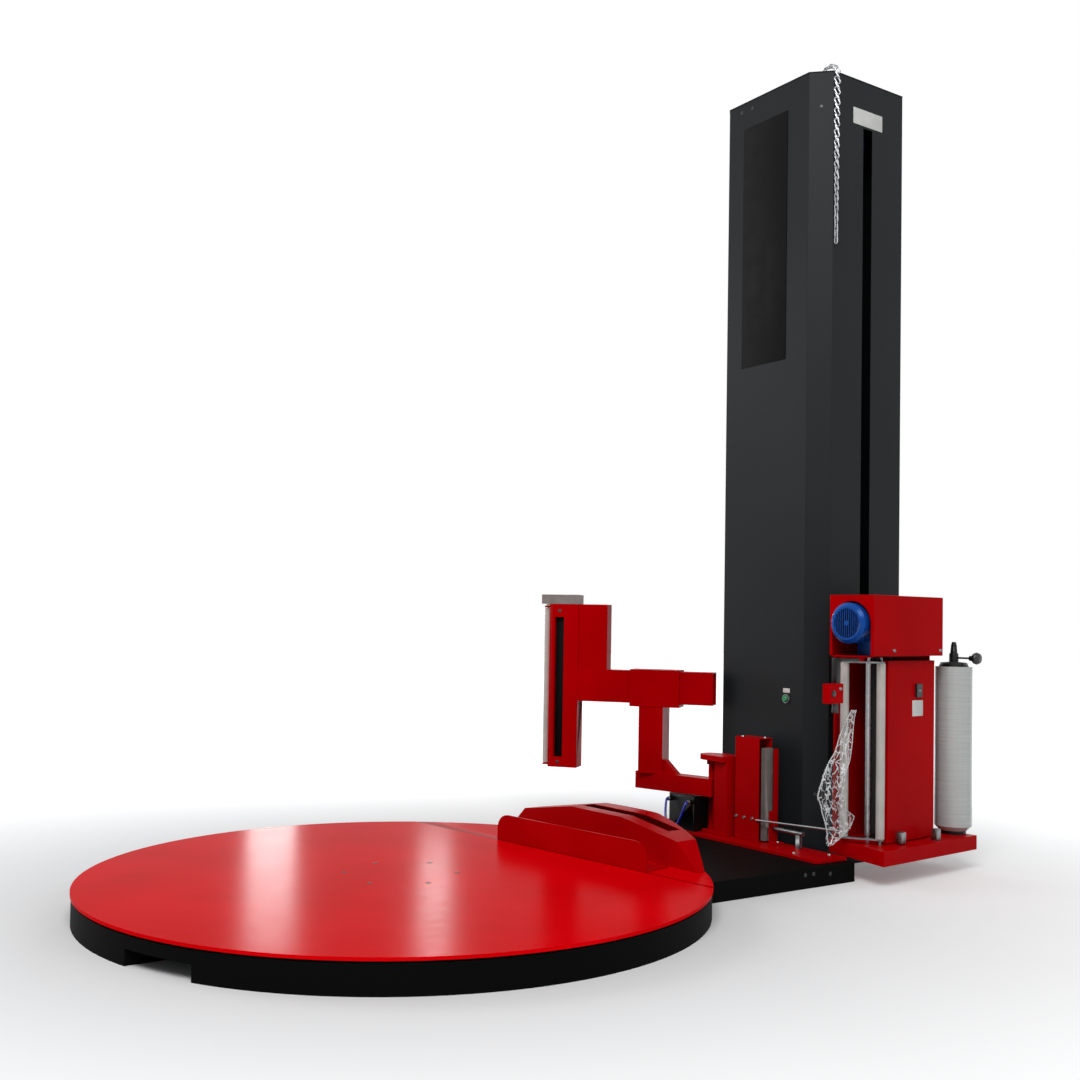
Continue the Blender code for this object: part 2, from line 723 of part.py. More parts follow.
def build_rear_door():
    half = MAST_HALF_WIDTH - DOOR_MARGIN + 0.014
    hinge = frame("rear_door_axis", (MAST_REAR + 0.006, half, 0.0))
    x0 = GAP - 0.006
    x1 = x0 + DOOR_SHEET
    door = box("rear_door", (x0, -2 * half, DOOR_Z[0]), (x1, 0.0, DOOR_Z[1]), ANTHRACITE, hinge)
    pin_low = DOOR_Z[0] + 0.05
    pin_length = DOOR_Z[1] - 0.05 - pin_low
    pin = cylinder("door_pin", 0.0045, (0, 0, pin_low), pin_length, carrier=hinge, helper=True, segments=16)
    join(door, pin)
    for name, z, radius in (("stop_bore", 1.45, 0.012), ("switch_bore", 1.35, 0.008)):
        hole = cylinder(name, radius, (-0.03, -half, z), 0.06, "X", carrier=hinge, helper=True, segments=24)
        cut(door, hole)
    stop_profile = [
        (0.0, 0.032), (0.014, 0.032), (0.020, 0.026), (0.020, 0.016), (0.0115, 0.014), (0.0115, -0.020),
        (0.0, -0.020),
    ]
    turned("emergency_stop", stop_profile, (x1, -half, 1.45), STOP_RED, hinge, axis="X", segments=24)
    switch = cylinder("main_switch", 0.0075, (x0 - 0.02, -half, 1.35), 0.032, "X", BLACK, hinge, segments=24)
    face = (x1 + GAP, -half, 1.35)
    plate = cylinder("switch_knob", 0.020, face, 0.010, "X", carrier=hinge, helper=True, segments=24)
    grip_high = (x1 + 0.022, -half + 0.005, 1.368)
    grip = box("switch_grip", (x1 + 0.008, -half - 0.005, 1.332), grip_high, carrier=hinge, helper=True)
    join(switch, plate, grip)


def build_start_button():
    """A guarded push button: its cap stands on the mast's front and its stem goes through."""
    axis = frame("start_button_axis", (MAST_FRONT, BUTTON_Y, BUTTON_Z), pi)
    profile = [(0.0, 0.012), (0.009, 0.012), (0.0105, 0.010), (0.0105, -0.016), (0.0, -0.016)]
    turned("start_button", profile, (0, 0, 0), GREEN, axis, axis="X", segments=24)


def build_lift():
    rail = box("lift_rail", (RAIL_X[0], RAIL_Y[0], 0.0063), (RAIL_X[1], RAIL_Y[1], MAST_HEIGHT - 0.010), STEEL)
    foot = box("rail_foot", (1.490, -0.200, 0.0063), (1.590, RAIL_Y[1], 0.016), helper=True)
    join(rail, foot)
    y0, y1 = LIFT_CHAIN_Y
    middle = (y0 + y1) / 2
    pitch = (y1 - y0) / 2
    for name, z in (("lift_sprocket_bottom", LIFT_SPROCKET_Z[0]), ("lift_sprocket_top", LIFT_SPROCKET_Z[1])):
        axis = frame(f"{name}_axis", (LIFT_CHAIN_X, middle, z))
        radius = pitch - CHAIN_RADIUS - 0.001
        profile = [
            (0.0, 0.044), (0.010, 0.044), (0.010, 0.004), (radius, 0.004),
            (radius, -0.004), (0.010, -0.004), (0.010, -0.044), (0.0, -0.044),
        ]
        turned(name, profile, (0, 0, 0), STEEL, axis, axis="X", segments=24)
    low = (middle, LIFT_SPROCKET_Z[0])
    high = (middle, LIFT_SPROCKET_Z[1])
    route = [(LIFT_CHAIN_X, y, z) for y, z in belt_path(low, pitch, high, pitch, 10)]
    tube("lift_chain", route, CHAIN_RADIUS, STEEL, cyclic=True, resolution=1)
    top = LIFT_SPROCKET_Z[1]
    motor = cylinder("lift_gearmotor", 0.050, (LIFT_CHAIN_X + 0.040, middle, top), 0.085, "X", BLUE)
    left = LIFT_CHAIN_X - 0.075
    inner = LIFT_CHAIN_X - 0.032
    outer = LIFT_CHAIN_X + 0.110
    wall = MAST_HALF_WIDTH - MAST_SHEET - GAP
    gearbox = box("lift_gearbox", (left, middle - 0.045, top - 0.045), (inner, middle + 0.045, top + 0.045), helper=True)
    bracket = box("lift_bracket", (left, middle + 0.058, top - 0.060), (outer, wall, top - 0.050), helper=True)
    web_start = LIFT_CHAIN_X + 0.040
    web = box("lift_web", (web_start, middle, top - 0.060), (outer, middle + 0.064, top - 0.030), helper=True)
    web_low = box("lift_web_low", (left, middle, top - 0.060), (inner, middle + 0.064, top - 0.030), helper=True)
    bore = cylinder(
        "lift_bore", 0.0104, (LIFT_CHAIN_X - 0.0445, middle, top), 0.089, "X", helper=True, segments=24
    )
    join(motor, bracket, gearbox, web, web_low)
    cut(motor, bore)
    for side in (-1, 1):
        start = LIFT_CHAIN_X + side * 0.0245
        cheek = box(
            f"idler_cheek_{side}", (min(start, start + side * 0.005), middle - 0.012, 0.0063),
            (max(start, start + side * 0.005), middle + 0.012, LIFT_SPROCKET_Z[0] + 0.012), helper=True,
        )
        join(rail, cheek)
    base_low = (LIFT_CHAIN_X - 0.0295, RAIL_Y[0], 0.0063)
    base = box("idler_base", base_low, (LIFT_CHAIN_X + 0.0295, middle + 0.012, 0.012), helper=True)
    idler_bore = cylinder(
        "idler_bore", 0.0103, (LIFT_CHAIN_X - 0.05, middle, LIFT_SPROCKET_Z[0]), 0.10, "X", helper=True, segments=24
    )
    join(rail, base)
    cut(rail, idler_bore)


def build_table_drive():
    """The turntable's gearmotor stands in the mast's foot and drives the table by a chain."""
    place = (1.440, 0.0)
    radius = 0.035
    axis = frame("drive_sprocket_axis", (*place, 0.0))
    profile = [
        (0.0, 0.100), (0.010, 0.100), (0.010, SPROCKET_HIGH), (radius - CHAIN_RADIUS - 0.001, SPROCKET_HIGH),
        (radius - CHAIN_RADIUS - 0.001, SPROCKET_LOW), (0.010, SPROCKET_LOW), (0.010, 0.020), (0.0, 0.020),
    ]
    turned("drive_sprocket", profile, (0, 0, 0), STEEL, axis, segments=24)
    height = (SPROCKET_LOW + SPROCKET_HIGH) / 2
    route = [(x, y, height) for x, y in belt_path((0, 0), TABLE_SPROCKET_RADIUS, place, radius, 20)]
    tube("drive_chain", route, CHAIN_RADIUS, STEEL, cyclic=True, resolution=1)
    x, y = place
    gearmotor = box("turntable_gearmotor", (x - 0.055, y - 0.055, 0.070), (x + 0.055, y + 0.055, 0.160), BLUE)
    motor = cylinder("table_motor_body", 0.060, (x, y, 0.15), 0.22, helper=True)
    for side in (-1, 1):
        leg = box(
            f"gearmotor_leg_{side}", (x - 0.055, min(side * 0.055, side * 0.068), 0.0063),
            (x + 0.055, max(side * 0.055, side * 0.068), 0.110), helper=True,
        )
        join(gearmotor, leg)
    seat = box("gearmotor_seat", (x - 0.055, -0.060, 0.070), (x + 0.055, 0.060, 0.080), helper=True)
    bore = cylinder("gearmotor_bore", 0.0103, (x, y, 0.05), 0.0503, helper=True, segments=16)
    join(gearmotor, motor, seat)
    cut(gearmotor, bore)


def build_hanging_chain():
    """The lifting chain, shown as the plain bar that its links fill, with its end over the top edge."""
    x = MAST_FRONT + MAST_CHAMFER + 0.005
    side = -MAST_HALF_WIDTH
    top = MAST_HEIGHT + GAP + MAST_CAP + GAP
    width = 0.006
    points = [
        (x, side - 0.0085, 1.985),
        (x, side - 0.0085, top + 0.004),
        (x - 0.012, side + 0.004, top + 0.016),
        (x - 0.020, side + 0.024, top + 0.010),
        (x - 0.008, side + 0.045, top + width),
    ]
    tube("hanging_chain", points, width, ZINC)


# ---- Clamp beside the mast, on the red plate ----
def build_pivot_post():
    low = PLATE_TOP + GAP
    x, y = PIVOT
    post = box("pivot_post", (x - 0.022, y - 0.092, low), (x + 0.048, y - 0.034, 0.309), RED)
    cap_outline = [(x - 0.040, y - 0.092), (x + 0.048, y - 0.092), (x + 0.048, y)]
    cap_outline += arc(PIVOT, 0.040, 0, 180, 10)
    cap = prism("post_cap", cap_outline, 0.308, 0.326, None, helper=True)
    ring = cylinder("post_bush", 0.018, (*PIVOT, 0.292), 0.020, helper=True)
    foot = box("post_foot", (x - 0.022, y - 0.036, low), (x + 0.040, y + 0.024, low + 0.010), helper=True)
    bore_top = cylinder("post_bore_top", 0.0123, (*PIVOT, 0.280), 0.034, helper=True, segments=24)
    bore_foot = cylinder("post_bore_foot", 0.0123, (*PIVOT, low + 0.003), 0.030, helper=True, segments=24)
    join(post, cap, ring, foot)
    cut(post, bore_top, bore_foot)


def build_swing_actuator():
    """The rack-and-pinion air actuator beside the pivot, with two ports on its upper corners."""
    body = box("swing_actuator", (*ACTUATOR_LOW, PLATE_TOP + GAP), ACTUATOR_HIGH, BLACK)
    start = ACTUATOR_LOW[0] - PORT_LENGTH
    for name, y in (("port_near", PORT_Y[0]), ("port_far", PORT_Y[1])):
        port = cylinder(name, 0.007, (start, y, PORT_Z), PORT_LENGTH + 0.001, "X", helper=True, segments=16)
        join(body, port)


def build_air_hose():
    """One polyurethane hose in a hanging loop, from one port of the actuator to the other."""
    near, far = PORT_Y
    face = ACTUATOR_LOW[0] - PORT_LENGTH - GAP
    route = [(face, near, PORT_Z)]
    for step in range(HOSE_STEPS + 1):
        turn = pi * step / HOSE_STEPS
        bulge = sin(turn)
        x = face - HOSE_STRAIGHT - HOSE_REACH * bulge
        y = near + (far - near) * (1 - cos(turn)) / 2
        z = PORT_Z - HOSE_DROP * max(0.0, bulge - 0.25) / 0.75
        route.append((x, y, z))
    route.append((face, far, PORT_Z))
    tube("air_hose", route, HOSE_RADIUS, HOSE_BLUE)


def build_clamp():
    """A tall box that shelters the pressing bar, which an air cylinder pulls against the anvil."""
    low = PLATE_TOP + GAP
    (x0, x1), (y0, y1) = CLAMP_X, CLAMP_Y
    sheet = CLAMP_SHEET
    housing = box("clamp_housing", (x0, y0, low), (x1, y1, CLAMP_TOP), RED)
    hollow_low = (x0 + sheet, y0 - 0.01, low - 0.01)
    hollow = box("clamp_hollow", hollow_low, (x1 - sheet, y1 - sheet, CLAMP_TOP - sheet), helper=True)
    cut(housing, hollow)
    face = y0 - BAR_HALF[1] - BAR_TRAVEL - GAP
    back = face - ANVIL_SHEET
    anvil = box("clamp_anvil", (x0 + ANVIL_X[0], back, low), (x0 + ANVIL_X[1], face, BAR_HIGH), RED)
    tab = box("anvil_tab", (x0 + ANVIL_TAB_X, back, low), (x0 + ANVIL_X[1], face, ANVIL_TAB_TOP), helper=True)
    foot = box(
        "anvil_foot", (x0 + ANVIL_TAB_X, back - 0.028, low), (x0 + ANVIL_X[1], face, low + 0.006), helper=True
    )
    bore = ROD_RADIUS + RUNNING_GAP
    middle = x0 + BAR_X
    rod_hole = cylinder("rod_hole", bore, (middle, back - 0.01, ROD_Z), 0.03, "Y", helper=True, segments=16)
    join(anvil, tab, foot)
    cut(anvil, rod_hole)
    jaw_axis = frame("clamp_bar_axis", (middle, y0, ROD_Z))
    half_x, half_y = BAR_HALF
    bar_low = (-half_x, -half_y, BAR_LOW - ROD_Z)
    bar_high = (half_x, half_y, BAR_HIGH - ROD_Z)
    bar = box("clamp_bar", bar_low, bar_high, GREY_PLASTIC, jaw_axis)
    rod = cylinder("clamp_rod", ROD_RADIUS, (0, -0.125, 0), 0.124, "Y", carrier=jaw_axis, helper=True, segments=16)
    join(bar, rod)
    end = y0 - CYLINDER_END
    body = cylinder("clamp_cylinder", CYLINDER_RADIUS, (middle, end, ROD_Z), back - GAP - end, "Y", ZINC)
    piston_bore = cylinder("piston_bore", bore, (middle, y0 - 0.150, ROD_Z), 0.150, "Y", helper=True, segments=16)
    bracket = box(
        "cylinder_bracket", (middle - 0.006, end + 0.010, low), (middle + 0.006, end + 0.026, ROD_Z - 0.005),
        helper=True,
    )
    join(body, bracket)
    cut(body, piston_bore)
    seat_place = (x0 - GUIDE_ROD_RADIUS - 0.0021, y0 + 0.006, GUIDE_ROD_Z)
    seat = frame("guide_rod_seat", seat_place, GUIDE_ROD_YAW)
    cylinder("film_guide_rod", GUIDE_ROD_RADIUS, (0, 0, 0), GUIDE_ROD_LENGTH, "X", STEEL, seat, segments=16)


# ---- Film carriage ----
def build_carriage_plate():
    depth = CARRIAGE_DEPTH
    outline = [(0, 0), (CARRIAGE_LENGTH, 0), (CARRIAGE_LENGTH, depth), (CARRIAGE_SLANT, depth)]
    plate = prism("carriage_plate", outline, CARRIAGE_LOW, CARRIAGE_TOP, RED, CARRIAGE)
    sheet = CARRIAGE_SHEET
    hollow_outline = [
        (sheet * 1.5, sheet), (CARRIAGE_LENGTH - sheet, sheet), (CARRIAGE_LENGTH - sheet, depth - sheet),
        (CARRIAGE_SLANT + sheet * 0.8, depth - sheet),
    ]
    hollow = prism(
        "plate_hollow", hollow_outline, CARRIAGE_LOW - 0.01, CARRIAGE_TOP - sheet, None, CARRIAGE, helper=True
    )
    cut(plate, hollow)


def build_carriage_frame():
    """The back panel between plate and housing, with the trolley that runs on the mast's rail."""
    low = CARRIAGE_TOP + GAP
    back = 0.236
    sheet = 0.005
    left = 0.075
    right = DOOR_X[1]
    panel = box("carriage_frame", (left, back - sheet, low), (right, back, HOUSING_Z[1]), RED, CARRIAGE)
    shelf_front = HOUSING_Y[1] - 0.11
    shelf_outline = [
        (0.004, shelf_front), (right, shelf_front), (right, back), (left, back), (left, HOUSING_Y[1]),
        (0.004, HOUSING_Y[1]),
    ]
    top = prism("frame_shelf", shelf_outline, SHELF_LOW, SHELF_TOP, None, CARRIAGE, helper=True)
    side_low = (right - sheet, DOOR_FRONT + 0.016, low)
    side = box("frame_side", side_low, (right, back, SHELF_TOP), carrier=CARRIAGE, helper=True)
    join(panel, top, side)
    for name, (low_corner, high_corner) in {
        "trolley_arm": ((1.5260, -0.345, 0.260), (1.5552, -0.1905, 0.640)),
        "trolley_block": ((1.4960, -0.2200, 0.250), (1.5850, -0.1360, 0.650)),
    }.items():
        join(panel, box(name, low_corner, high_corner, helper=True))
    groove = box(
        "trolley_groove", (RAIL_X[0] - RUNNING_GAP, RAIL_Y[0] - RUNNING_GAP, 0.2), (RAIL_X[1] + RUNNING_GAP, 0.0, 0.7),
        helper=True,
    )
    cut(panel, groove)
    lug = box(
        "chain_lug", (LIFT_CHAIN_X + CHAIN_RADIUS + GAP, -0.1400, 0.400), (1.5850, -0.1120, 0.460), helper=True
    )
    join(panel, lug)
    for number, (x, y) in enumerate(PRESTRETCH_AXES):
        bore = cylinder(
            f"prestretch_bore_{number}", 0.0103, (x, y, HOUSING_Z[0] - 0.02), 0.04, carrier=CARRIAGE, helper=True,
            segments=16,
        )
        cut(panel, bore)


def build_housing():
    (x0, x1), (y0, y1), (z0, z1) = HOUSING_X, HOUSING_Y, HOUSING_Z
    sheet = HOUSING_SHEET
    shell = box("carriage_housing", (x0, y0, z0), (x1, y1, z1), RED, CARRIAGE)
    hollow = box(
        "housing_hollow", (x0 + sheet, y0 + sheet, z0 - 0.01), (x1 - sheet, y1 - sheet, z1 - sheet), carrier=CARRIAGE,
        helper=True,
    )
    centre = z1 - ARCH_BRIDGE - ARCH_RADIUS
    arch_outline = [(MOTOR_Y + ARCH_RADIUS, z0 - 0.01)]
    arch_outline += arc((MOTOR_Y, centre), ARCH_RADIUS, 0, 180, 16)
    arch_outline += [(MOTOR_Y - ARCH_RADIUS, z0 - 0.01)]
    arch = prism("housing_arch", arch_outline, x0 - 0.01, x0 + 0.01, None, CARRIAGE, "YZ", helper=True)
    cut(shell, hollow, arch)


def build_stretch_motor():
    """The gearmotor lies along the housing and its fan cowl stands out of the arch."""
    start = HOUSING_X[0] - MOTOR_PROUD
    end = 0.130
    profile = [
        (0.0, end), (0.042, end), (0.042, 0.100), (0.048, 0.100), (0.048, start + 0.070),
        (MOTOR_RADIUS, start + 0.068), (MOTOR_RADIUS, start + 0.008), (MOTOR_RADIUS - 0.010, start),
        (MOTOR_RADIUS - 0.016, start), (MOTOR_RADIUS - 0.016, start + 0.0300), (0.0, start + 0.030),
    ]
    motor = turned("stretch_motor", profile, (0, MOTOR_Y, MOTOR_Z), BLUE, CARRIAGE, axis="X", segments=32)
    foot = box(
        "motor_foot", (0.085, MOTOR_Y - 0.040, HOUSING_Z[0]), (0.125, MOTOR_Y + 0.040, MOTOR_Z - 0.020),
        carrier=CARRIAGE, helper=True,
    )
    join(motor, foot)
    gearbox = box(
        "motor_gearbox", (0.120, MOTOR_Y - 0.045, MOTOR_Z - 0.045), (0.205, MOTOR_Y + 0.045, MOTOR_Z + 0.045),
        carrier=CARRIAGE, helper=True,
    )
    join(motor, gearbox)
    fan_axis = frame("motor_fan_axis", (start + 0.0155, MOTOR_Y, MOTOR_Z), 0.0, CARRIAGE)
    hub = cylinder("motor_fan", 0.012, (0.0, 0, 0), 0.0140, "X", BLACK, fan_axis, segments=24)
    for number in range(6):
        turn = Matrix.Rotation(radians(60 * number), 4, "X")
        blade = box(f"fan_blade_{number}", (0.001, -0.0012, 0.010), (0.012, 0.0012, 0.041), carrier=fan_axis, helper=True)
        blade.matrix_local = turn
        join(hub, blade)


def bar_profile(radius, low, high, stub, below, above):
    """A roller's body with a thin journal on each end."""
    return [
        (0.0, high + above), (stub, high + above), (stub, high), (radius, high),
        (radius, low), (stub, low), (stub, low - below), (0.0, low - below),
    ]


def build_rollers():
    low, high = ROLLER_Z
    below = low - CARRIAGE_TOP - GAP
    above = SHELF_LOW - GAP - high
    steel_axis = frame("steel_roller_axis", (*STEEL_ROLLER, 0.0), 0.0, CARRIAGE)
    steel_profile = bar_profile(STEEL_ROLLER_RADIUS, low, high, 0.005, below, above)
    turned("steel_roller", steel_profile, (0, 0, 0), STEEL, steel_axis, segments=20)
    bore = DANCER_SHAFT_RADIUS + RUNNING_GAP
    guide_axis = frame("guide_roller_axis", (*GUIDE_ROLLER, 0.0), 0.0, CARRIAGE)
    guide_profile = [
        (COVERED_ROLLER_RADIUS, high), (COVERED_ROLLER_RADIUS, low), (bore, low), (bore, high),
    ]
    turned("guide_roller", guide_profile, (0, 0, 0), RUBBER, guide_axis, segments=20, closed=True)
    for number, (x, y) in enumerate(PRESTRETCH_AXES):
        name = ("prestretch_roller_slow", "prestretch_roller_fast")[number]
        axis = frame(f"{name}_axis", (x, y, 0.0), 0.0, CARRIAGE)
        stub = CARRIAGE_TOP + GAP
        profile = [
            (0.0, HOUSING_Z[0] + 0.004), (0.010, HOUSING_Z[0] + 0.004), (0.010, high), (PRESTRETCH_RADIUS, high),
            (PRESTRETCH_RADIUS, low), (0.010, low), (0.010, stub), (0.0, stub),
        ]
        turned(name, profile, (0, 0, 0), DARK_RUBBER, axis, segments=24)


def build_dancer():
    """A swinging frame: a shaft through the guide roller, and two flat links to the dancer roller."""
    gx, gy = GUIDE_ROLLER
    dx, dy = DANCER_ROLLER[0] - gx, DANCER_ROLLER[1] - gy
    reach = hypot(dx, dy)
    axis = frame("dancer_axis", (gx, gy, 0.0), atan2(dy, dx), CARRIAGE)
    low, high = ROLLER_Z
    link = rounded((-0.011, -0.009), (reach + 0.011, 0.009), 0.0085, 3)
    arm = prism("dancer_arm", link, high + GAP, high + GAP + DANCER_LINK, ZINC, axis)
    lower = prism("dancer_link_low", link, low - GAP - DANCER_LINK, low - GAP, None, axis, helper=True)
    foot = CARRIAGE_TOP + GAP
    shaft = cylinder("dancer_shaft", DANCER_SHAFT_RADIUS, (0, 0, foot), SHELF_LOW - GAP - foot, carrier=axis,
                     helper=True, segments=20)
    seat = cylinder("dancer_seat", 0.0043, (reach, 0, low - 0.03), high - low + 0.06, carrier=axis, helper=True,
                    segments=20)
    join(arm, lower, shaft)
    cut(arm, seat)
    roller_axis = frame("dancer_roller_axis", (reach, 0, 0), 0.0, axis)
    profile = bar_profile(COVERED_ROLLER_RADIUS, low, high, 0.004, DANCER_LINK, DANCER_LINK)
    turned("dancer_roller", profile, (0, 0, 0), RUBBER, roller_axis, segments=20)


def build_roller_door():
    """The tall folded door over the pre-stretch rollers, hinged on its front right edge."""
    x0, x1 = DOOR_X
    low = CARRIAGE_TOP + 0.004
    high = HOUSING_Z[0] - 0.0150
    hinge = DOOR_HINGE_INSET
    axis = frame("roller_door_axis", (x1 - hinge, DOOR_FRONT + hinge, 0.0), 0.0, CARRIAGE)
    sheet = 0.003
    left = x0 - x1 + hinge
    right = hinge
    front = -hinge
    outline = [
        (left, front), (right, front), (right, front + sheet), (left + sheet, front + sheet),
        (left + sheet, front + 0.030), (left, front + 0.030),
    ]
    door = prism("roller_door", outline, low, high, RED, axis)
    lid_high = (right - 0.012, front + 0.030, high + 0.0005)
    lid = box("door_lid", (left, front, high - sheet), lid_high, carrier=axis, helper=True)
    pin_low = CARRIAGE_TOP + GAP
    pin = cylinder(
        "door_hinge_pin", DOOR_HINGE_INSET - 0.001, (0, 0, pin_low), high - pin_low, carrier=axis, helper=True, segments=16
    )
    latch_x = -0.085
    bore = cylinder("latch_bore", 0.006, (latch_x, front - 0.01, LATCH_Z), 0.02, "Y", carrier=axis, helper=True,
                    segments=16)
    join(door, lid, pin)
    cut(door, bore)
    latch_axis = frame("door_latch_axis", (latch_x, front, LATCH_Z), 0.0, axis)
    latch = box("door_latch", (-0.014, -0.008, -0.028), (0.014, -GAP, 0.012), BLACK, latch_axis)
    stem = cylinder("latch_stem", 0.0055, (0, -0.001, 0), 0.018, "Y", carrier=latch_axis, helper=True, segments=16)
    join(latch, stem)


def build_film_roll():
    axis = frame("film_roll_axis", (*FILM_AXIS, 0.0), 0.0, CARRIAGE)
    low, high = FILM_Z
    bevel = 0.014
    roll = [
        (FILM_RADIUS, high), (FILM_RADIUS, low + bevel), (FILM_RADIUS - bevel, low), (CORE_RADIUS, low),
        (CORE_RADIUS, high),
    ]
    turned("film_roll", roll, (0, 0, 0), FILM, axis, segments=40, closed=True)
    flange_low = CARRIAGE_TOP + GAP
    spindle = [
        (0.0, high + 0.030), (0.012, high + 0.030), (0.012, high - 0.02), (CORE_RADIUS - GAP, high - 0.02),
        (CORE_RADIUS - GAP, low - GAP), (0.040, low - GAP), (0.040, flange_low), (0.0, flange_low),
    ]
    turned("roll_spindle", spindle, (0, 0, 0), BLACK, axis, segments=32)
    neck = high + GAP
    chuck = [
        (0.0, neck + 0.077), (0.006, neck + 0.077), (0.009, neck + 0.066), (0.011, neck + 0.042), (0.014, neck + 0.040),
        (0.0145, neck + 0.014), (0.040, neck + 0.012), (0.046, neck), (0.0123, neck), (0.0123, neck + 0.0305),
        (0.0, neck + 0.0305),
    ]
    top = turned("roll_chuck", chuck, (0, 0, 0), BLACK, axis, segments=32)
    knob_z = neck + 0.027
    screw_bore = cylinder("chuck_screw_bore", 0.0033, (0, -0.0125, knob_z), -0.03, "Y", carrier=axis, helper=True,
                          segments=16)
    screw_bore.data.flip_normals()
    cut(top, screw_bore)
    knob_axis = frame("chuck_knob_axis", (0, 0, knob_z), 0.0, axis)
    knob_profile = [
        (0.0, 0.0130), (0.003, 0.0130), (0.003, 0.054), (0.008, 0.056), (0.009, 0.064), (0.017, 0.072), (0.019, 0.080),
        (0.015, 0.089), (0.0, 0.090),
    ]
    turned(
        "chuck_knob", [(radius, -out) for radius, out in knob_profile], (0, 0, 0), BLACK, knob_axis, axis="Y",
        segments=24,
    )


def build_photocell():
    """The load sensor, which hangs on an arm from the left end of the carriage's shelf."""
    y = 0.100
    body = box("photocell", (-0.143, y - 0.012, 0.532), (-0.077, y + 0.012, 0.589), RED, CARRIAGE)
    plug = cylinder("photocell_plug", 0.008, (-0.100, y, 0.506), 0.030, carrier=CARRIAGE, helper=True, segments=16)
    top = SHELF_LOW - GAP
    hanger = box(
        "photocell_hanger", (-0.106, y - 0.008, 0.585), (-0.088, y + 0.008, top), carrier=CARRIAGE, helper=True
    )
    arm = box(
        "photocell_arm", (-0.106, y - 0.008, top - 0.010), (0.030, y + 0.008, top), carrier=CARRIAGE, helper=True
    )
    join(body, plug, hanger, arm)


def build_film_tail():
    """The loose end of the film beside the dancer roller, as the plain space that it fills."""
    dancer = bpy.data.objects["dancer_axis"]
    swing = dancer.rotation_euler.z
    reach = hypot(DANCER_ROLLER[0] - GUIDE_ROLLER[0], DANCER_ROLLER[1] - GUIDE_ROLLER[1])
    seat = frame("film_tail_seat", (reach, 0.0, 0.0), -swing, dancer)
    near = COVERED_ROLLER_RADIUS + GAP
    outline = [
        (0.021, 0.505), (-0.025, 0.460), (-0.082, 0.380), (-0.120, 0.340), (-0.161, 0.267), (-0.139, 0.216),
        (-0.112, 0.114), (-0.034, 0.135), (0.024, 0.190),
    ]
    prism("film_tail", outline, -near - TAIL_DEPTH, -near, FILM, seat, plane="XZ")


# ---- Wiper arm ----
def build_swing_arm():
    low, high = ARM_Z
    arm = box("swing_arm", (-0.016, -ARM_HALF_WIDTH, low), (ARM_REACH + 0.052, ARM_HALF_WIDTH, high), RED, ARM)
    shaft_low = PLATE_TOP + 2 * GAP + 0.003
    shaft = cylinder("pivot_shaft", 0.012, (0, 0, shaft_low), SHAFT_TOP - shaft_low, carrier=ARM, helper=True)
    column = box(
        "arm_column", (*COLUMN_LOW, high - 0.003), (*COLUMN_HIGH, SLEEVE_Z[0] + 0.002), carrier=HEAD, helper=True
    )
    gusset = prism(
        "arm_gusset",
        [(ARM_REACH - 0.115, high - 0.003), (ARM_REACH - 0.030, high - 0.003), (ARM_REACH - 0.030, high + 0.045),
         (ARM_REACH - 0.060, high + 0.045)],
        -0.012, 0.012, None, ARM, "XZ", helper=True,
    )
    half = TUBE_HALF_WIDTH + RUNNING_GAP
    wall = TUBE_HALF_WIDTH + 0.009
    sleeve = box(
        "arm_sleeve", (SLEEVE_X[0], -wall, SLEEVE_Z[0]), (SLEEVE_X[1], wall, SLEEVE_Z[1]), carrier=HEAD, helper=True
    )
    inside = box(
        "sleeve_inside", (SLEEVE_X[0] - 0.01, -half, TUBE_Z[0] - RUNNING_GAP),
        (SLEEVE_X[1] + 0.01, half, TUBE_Z[1] + RUNNING_GAP), carrier=HEAD, helper=True,
    )
    join(arm, shaft, column, gusset, sleeve)
    cut(arm, inside)


